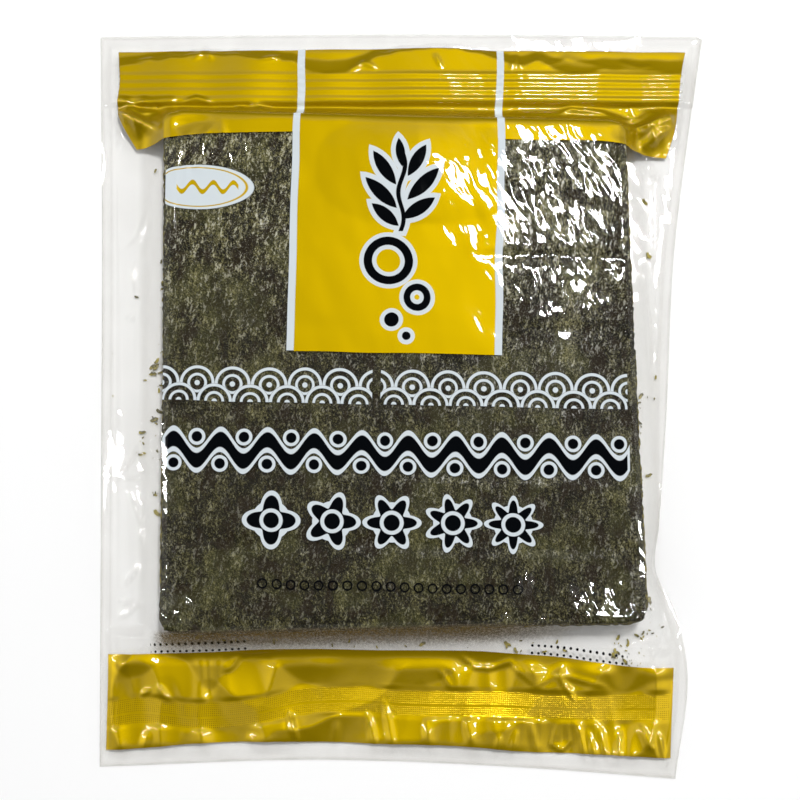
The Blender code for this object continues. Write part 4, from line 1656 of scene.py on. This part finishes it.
def crumb_patches():
    """Flat patches that keep how many flakes fall on each square metre of them."""
    points, faces, densities = [], [], []
    for (low_x, high_x), (low_y, high_y), density in CRUMB_PATCHES:
        first = len(points)
        corners = ((low_x, low_y), (high_x, low_y), (high_x, high_y), (low_x, high_y))
        points += [(x, y, CRUMB_Z) for x, y in corners]
        faces.append((first, first + 1, first + 2, first + 3))
        densities.append(density * PER_SQUARE_METRE)
    mesh = bpy.data.meshes.new("nori_crumbs")
    mesh.from_pydata((np.array(points) * MM).tolist(), [], faces)
    mesh.attributes.new("density", "FLOAT", "FACE").data.foreach_set("value", densities)
    return mesh


def make_crumbs():
    level = np.zeros(len(FLAKE_OUTLINE))
    flake = link("flake", slab_mesh("flake", np.array(FLAKE_OUTLINE), level, level + FLAKE_THICKNESS))
    tree = NodeTree("scattered_crumbs")
    seed = tree.ask("Seed", "Int", 5)
    smallest = tree.ask("Smallest", "Float", CRUMB_SMALLEST)
    largest = tree.ask("Largest", "Float", CRUMB_LARGEST)
    kept = tree.add("GeometryNodeInputNamedAttribute", {"data_type": "FLOAT"}, {"Name": "density"})
    spread = {"Mesh": tree.start.outputs["Geometry"], "Density": kept.outputs[0], "Seed": seed}
    points = tree.add("GeometryNodeDistributePointsOnFaces", inputs=spread).outputs[0]
    low_turn = (-CRUMB_TILT, -CRUMB_TILT, -CRUMB_TURN)
    turn = tree.random_vector(low_turn, (CRUMB_TILT, CRUMB_TILT, CRUMB_TURN), seed)
    chance = tree.random_number(0.0, 1.0, seed)
    seldom = tree.add("ShaderNodeMath", {"operation": "POWER"}, {0: chance, 1: MOSTLY_SMALL}).outputs[0]
    sizes = {"Value": seldom, "To Min": smallest, "To Max": largest}
    size = tree.add("ShaderNodeMapRange", inputs=sizes).outputs[0]
    one = tree.add("GeometryNodeObjectInfo", inputs={"Object": flake})
    flakes = tree.copies(points, one.outputs["Geometry"], Rotation=turn, Scale=size)
    tree.finish(flakes, make_crumb_material())
    crumbs = tree.apply_to(link("nori_crumbs", crumb_patches()))
    bpy.data.objects.remove(flake)
    return crumbs


nori_crumbs = make_crumbs()
print("crumb faces:", len(nori_crumbs.data.polygons))

# %% [markdown]
# Every piece rides on the bag's one body. The film takes the place of the plain solid, and the rest lies
# inside it or on it.

# %% Hand the pieces to the frame

PIECES = (
    (bag_film, "printed_film"),
    (seal_dots, "printed_film"),
    (zip_rails, "clear_film"),
    (top_sheet, "nori"),
    (under_sheets, "nori"),
    (nori_crumbs, "nori"),
)
for piece, slot in PIECES:
    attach(piece, "root")
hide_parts("sealed_bag")

# %% [markdown]
# ## Floor, light and camera
#
# A white floor, a pale room, and one window-like light at the upper right whose mirror image makes the
# white glints on the film. Two long strips at the sides show only as reflections: they draw the thin
# bright lines along upright folds.

# %% Floor

FLOOR_HALF = 3000.0
FLOOR_TOP = -0.05


def make_floor():
    mesh = bpy.data.meshes.new("floor")
    corners = [(FLOOR_HALF * x, FLOOR_HALF * y, FLOOR_TOP) for x, y in ((-1, -1), (1, -1), (1, 1), (-1, 1))]
    mesh.from_pydata([Vector(corner) * MM for corner in corners], [], [(0, 1, 2, 3)])
    shader = Shader("white_table")
    white = shader.solid({"Base Color": (0.92, 0.92, 0.92, 1.0), "Roughness": 0.8})
    mesh.materials.append(shader.finish(white))
    return link("floor", mesh)


make_floor()

# %% Lights

WINDOW_MIDDLE = Vector((0.227, 0.484, 1.50))
WINDOW_TARGET = Vector((0.06, 0.06, 0.0))
WINDOW_LONG_WAY = Vector((0.5, -0.87, 0.0))
WINDOW_SIZE = (0.12, 0.27)
WINDOW_POWER = 14.5
STRIPS = (("left_strip_light", (-1.25, 0.05, 1.0)), ("right_strip_light", (1.15, 0.0, 1.1)))
STRIP_SIZE = (0.05, 1.4)
STRIP_POWER = 21.0


def add_light(name, place, target, size, power):
    light = bpy.data.lights.new(name, "AREA")
    light.shape = "RECTANGLE"
    light.size, light.size_y = size
    light.energy = power
    lamp = bpy.data.objects.new(name, light)
    lamp.location = place
    lamp.rotation_mode = "QUATERNION"
    lamp.rotation_quaternion = (Vector(target) - Vector(place)).to_track_quat("-Z", "Y")
    bpy.context.scene.collection.objects.link(lamp)
    return lamp


def add_window():
    """The window's long side runs down to the right, so every glint on the film does too."""
    lamp = add_light("window_light", WINDOW_MIDDLE, WINDOW_TARGET, WINDOW_SIZE, WINDOW_POWER)
    towards = (WINDOW_MIDDLE - WINDOW_TARGET).normalized()
    across = WINDOW_LONG_WAY.cross(towards).normalized()
    along = towards.cross(across).normalized()
    lamp.rotation_quaternion = Matrix((across, along, towards)).transposed().to_quaternion()


add_window()
for name, place in STRIPS:
    add_light(name, place, (0.0, 0.0, 0.0), STRIP_SIZE, STRIP_POWER).visible_diffuse = False

# %% [markdown]
# The room is pale, but the part of the ceiling that the flat film mirrors straight into the camera is
# dark, as it is behind any photographer. That is why black ink looks black through a glossy film. The
# walls at the sides are bright and those at the bag's two ends are dim, so folds in the gold bands
# have dark flanks.

# %% Room

OVERHEAD_TILT = 6.0
DARK_CONE, DARK_CONE_EDGE = 14.0, 27.0
FAR_END_DIM, FAR_END_BRIGHT = 58.0, 30.0
NEAR_END_DIM, NEAR_END_BRIGHT = -46.0, -4.0
DIM_WALL, BRIGHT_WALL = 0.06, 1.29
DARKENING = 0.95


def make_room():
    sky = Shader("pale_room", bpy.data.worlds.new("pale_room"))
    way = sky.node("ShaderNodeTexCoord", output=0)
    endways = sky.split(way)[1]
    overhead = {0: way, 1: (0.0, sine(OVERHEAD_TILT), cosine(OVERHEAD_TILT))}
    height = sky.node("ShaderNodeVectorMath", {"operation": "DOT_PRODUCT"}, overhead, output=1)
    behind_camera = sky.ramp(height, cosine(DARK_CONE_EDGE), cosine(DARK_CONE))
    far_end = sky.ramp(endways, sine(FAR_END_DIM), sine(FAR_END_BRIGHT))
    near_end = sky.ramp(endways, sine(NEAR_END_DIM), sine(NEAR_END_BRIGHT))
    radiance = (DIM_WALL + far_end * near_end * BRIGHT_WALL) * (1.0 - behind_camera * DARKENING)
    surface = sky.node("ShaderNodeBackground", None, {"Strength": radiance})
    bpy.context.scene.world = sky.finish(surface, "ShaderNodeOutputWorld")
    bpy.context.scene.view_settings.view_transform = "Standard"


make_room()

# %% [markdown]
# The camera stands over the bag, tipped a few degrees towards its sealed end, and turned a little,
# because the bag lies slightly turned in the picture.

# %% Camera

CAMERA_TARGET = Vector((2.4, -6.4, 16.0)) * MM
CAMERA_DISTANCE = 541.0 * MM
CAMERA_TILT = 7.2
CAMERA_TURN = 1.15
CAMERA_LENS = 60.75
CAMERA_SENSOR = 36.0


def make_camera():
    away = Vector((0.0, -sine(CAMERA_TILT), cosine(CAMERA_TILT)))
    level_right = Vector((1.0, 0.0, 0.0))
    level_up = away.cross(level_right)
    right = cosine(CAMERA_TURN) * level_right + sine(CAMERA_TURN) * level_up
    up = away.cross(right)
    data = bpy.data.cameras.new("camera")
    data.lens = CAMERA_LENS
    data.sensor_width = CAMERA_SENSOR
    camera = bpy.data.objects.new("camera", data)
    place = CAMERA_TARGET + away * CAMERA_DISTANCE
    turned = Matrix((right, up, away)).transposed().to_4x4()
    camera.matrix_world = Matrix.Translation(place) @ turned
    bpy.context.scene.collection.objects.link(camera)
    bpy.context.scene.camera = camera


make_camera()
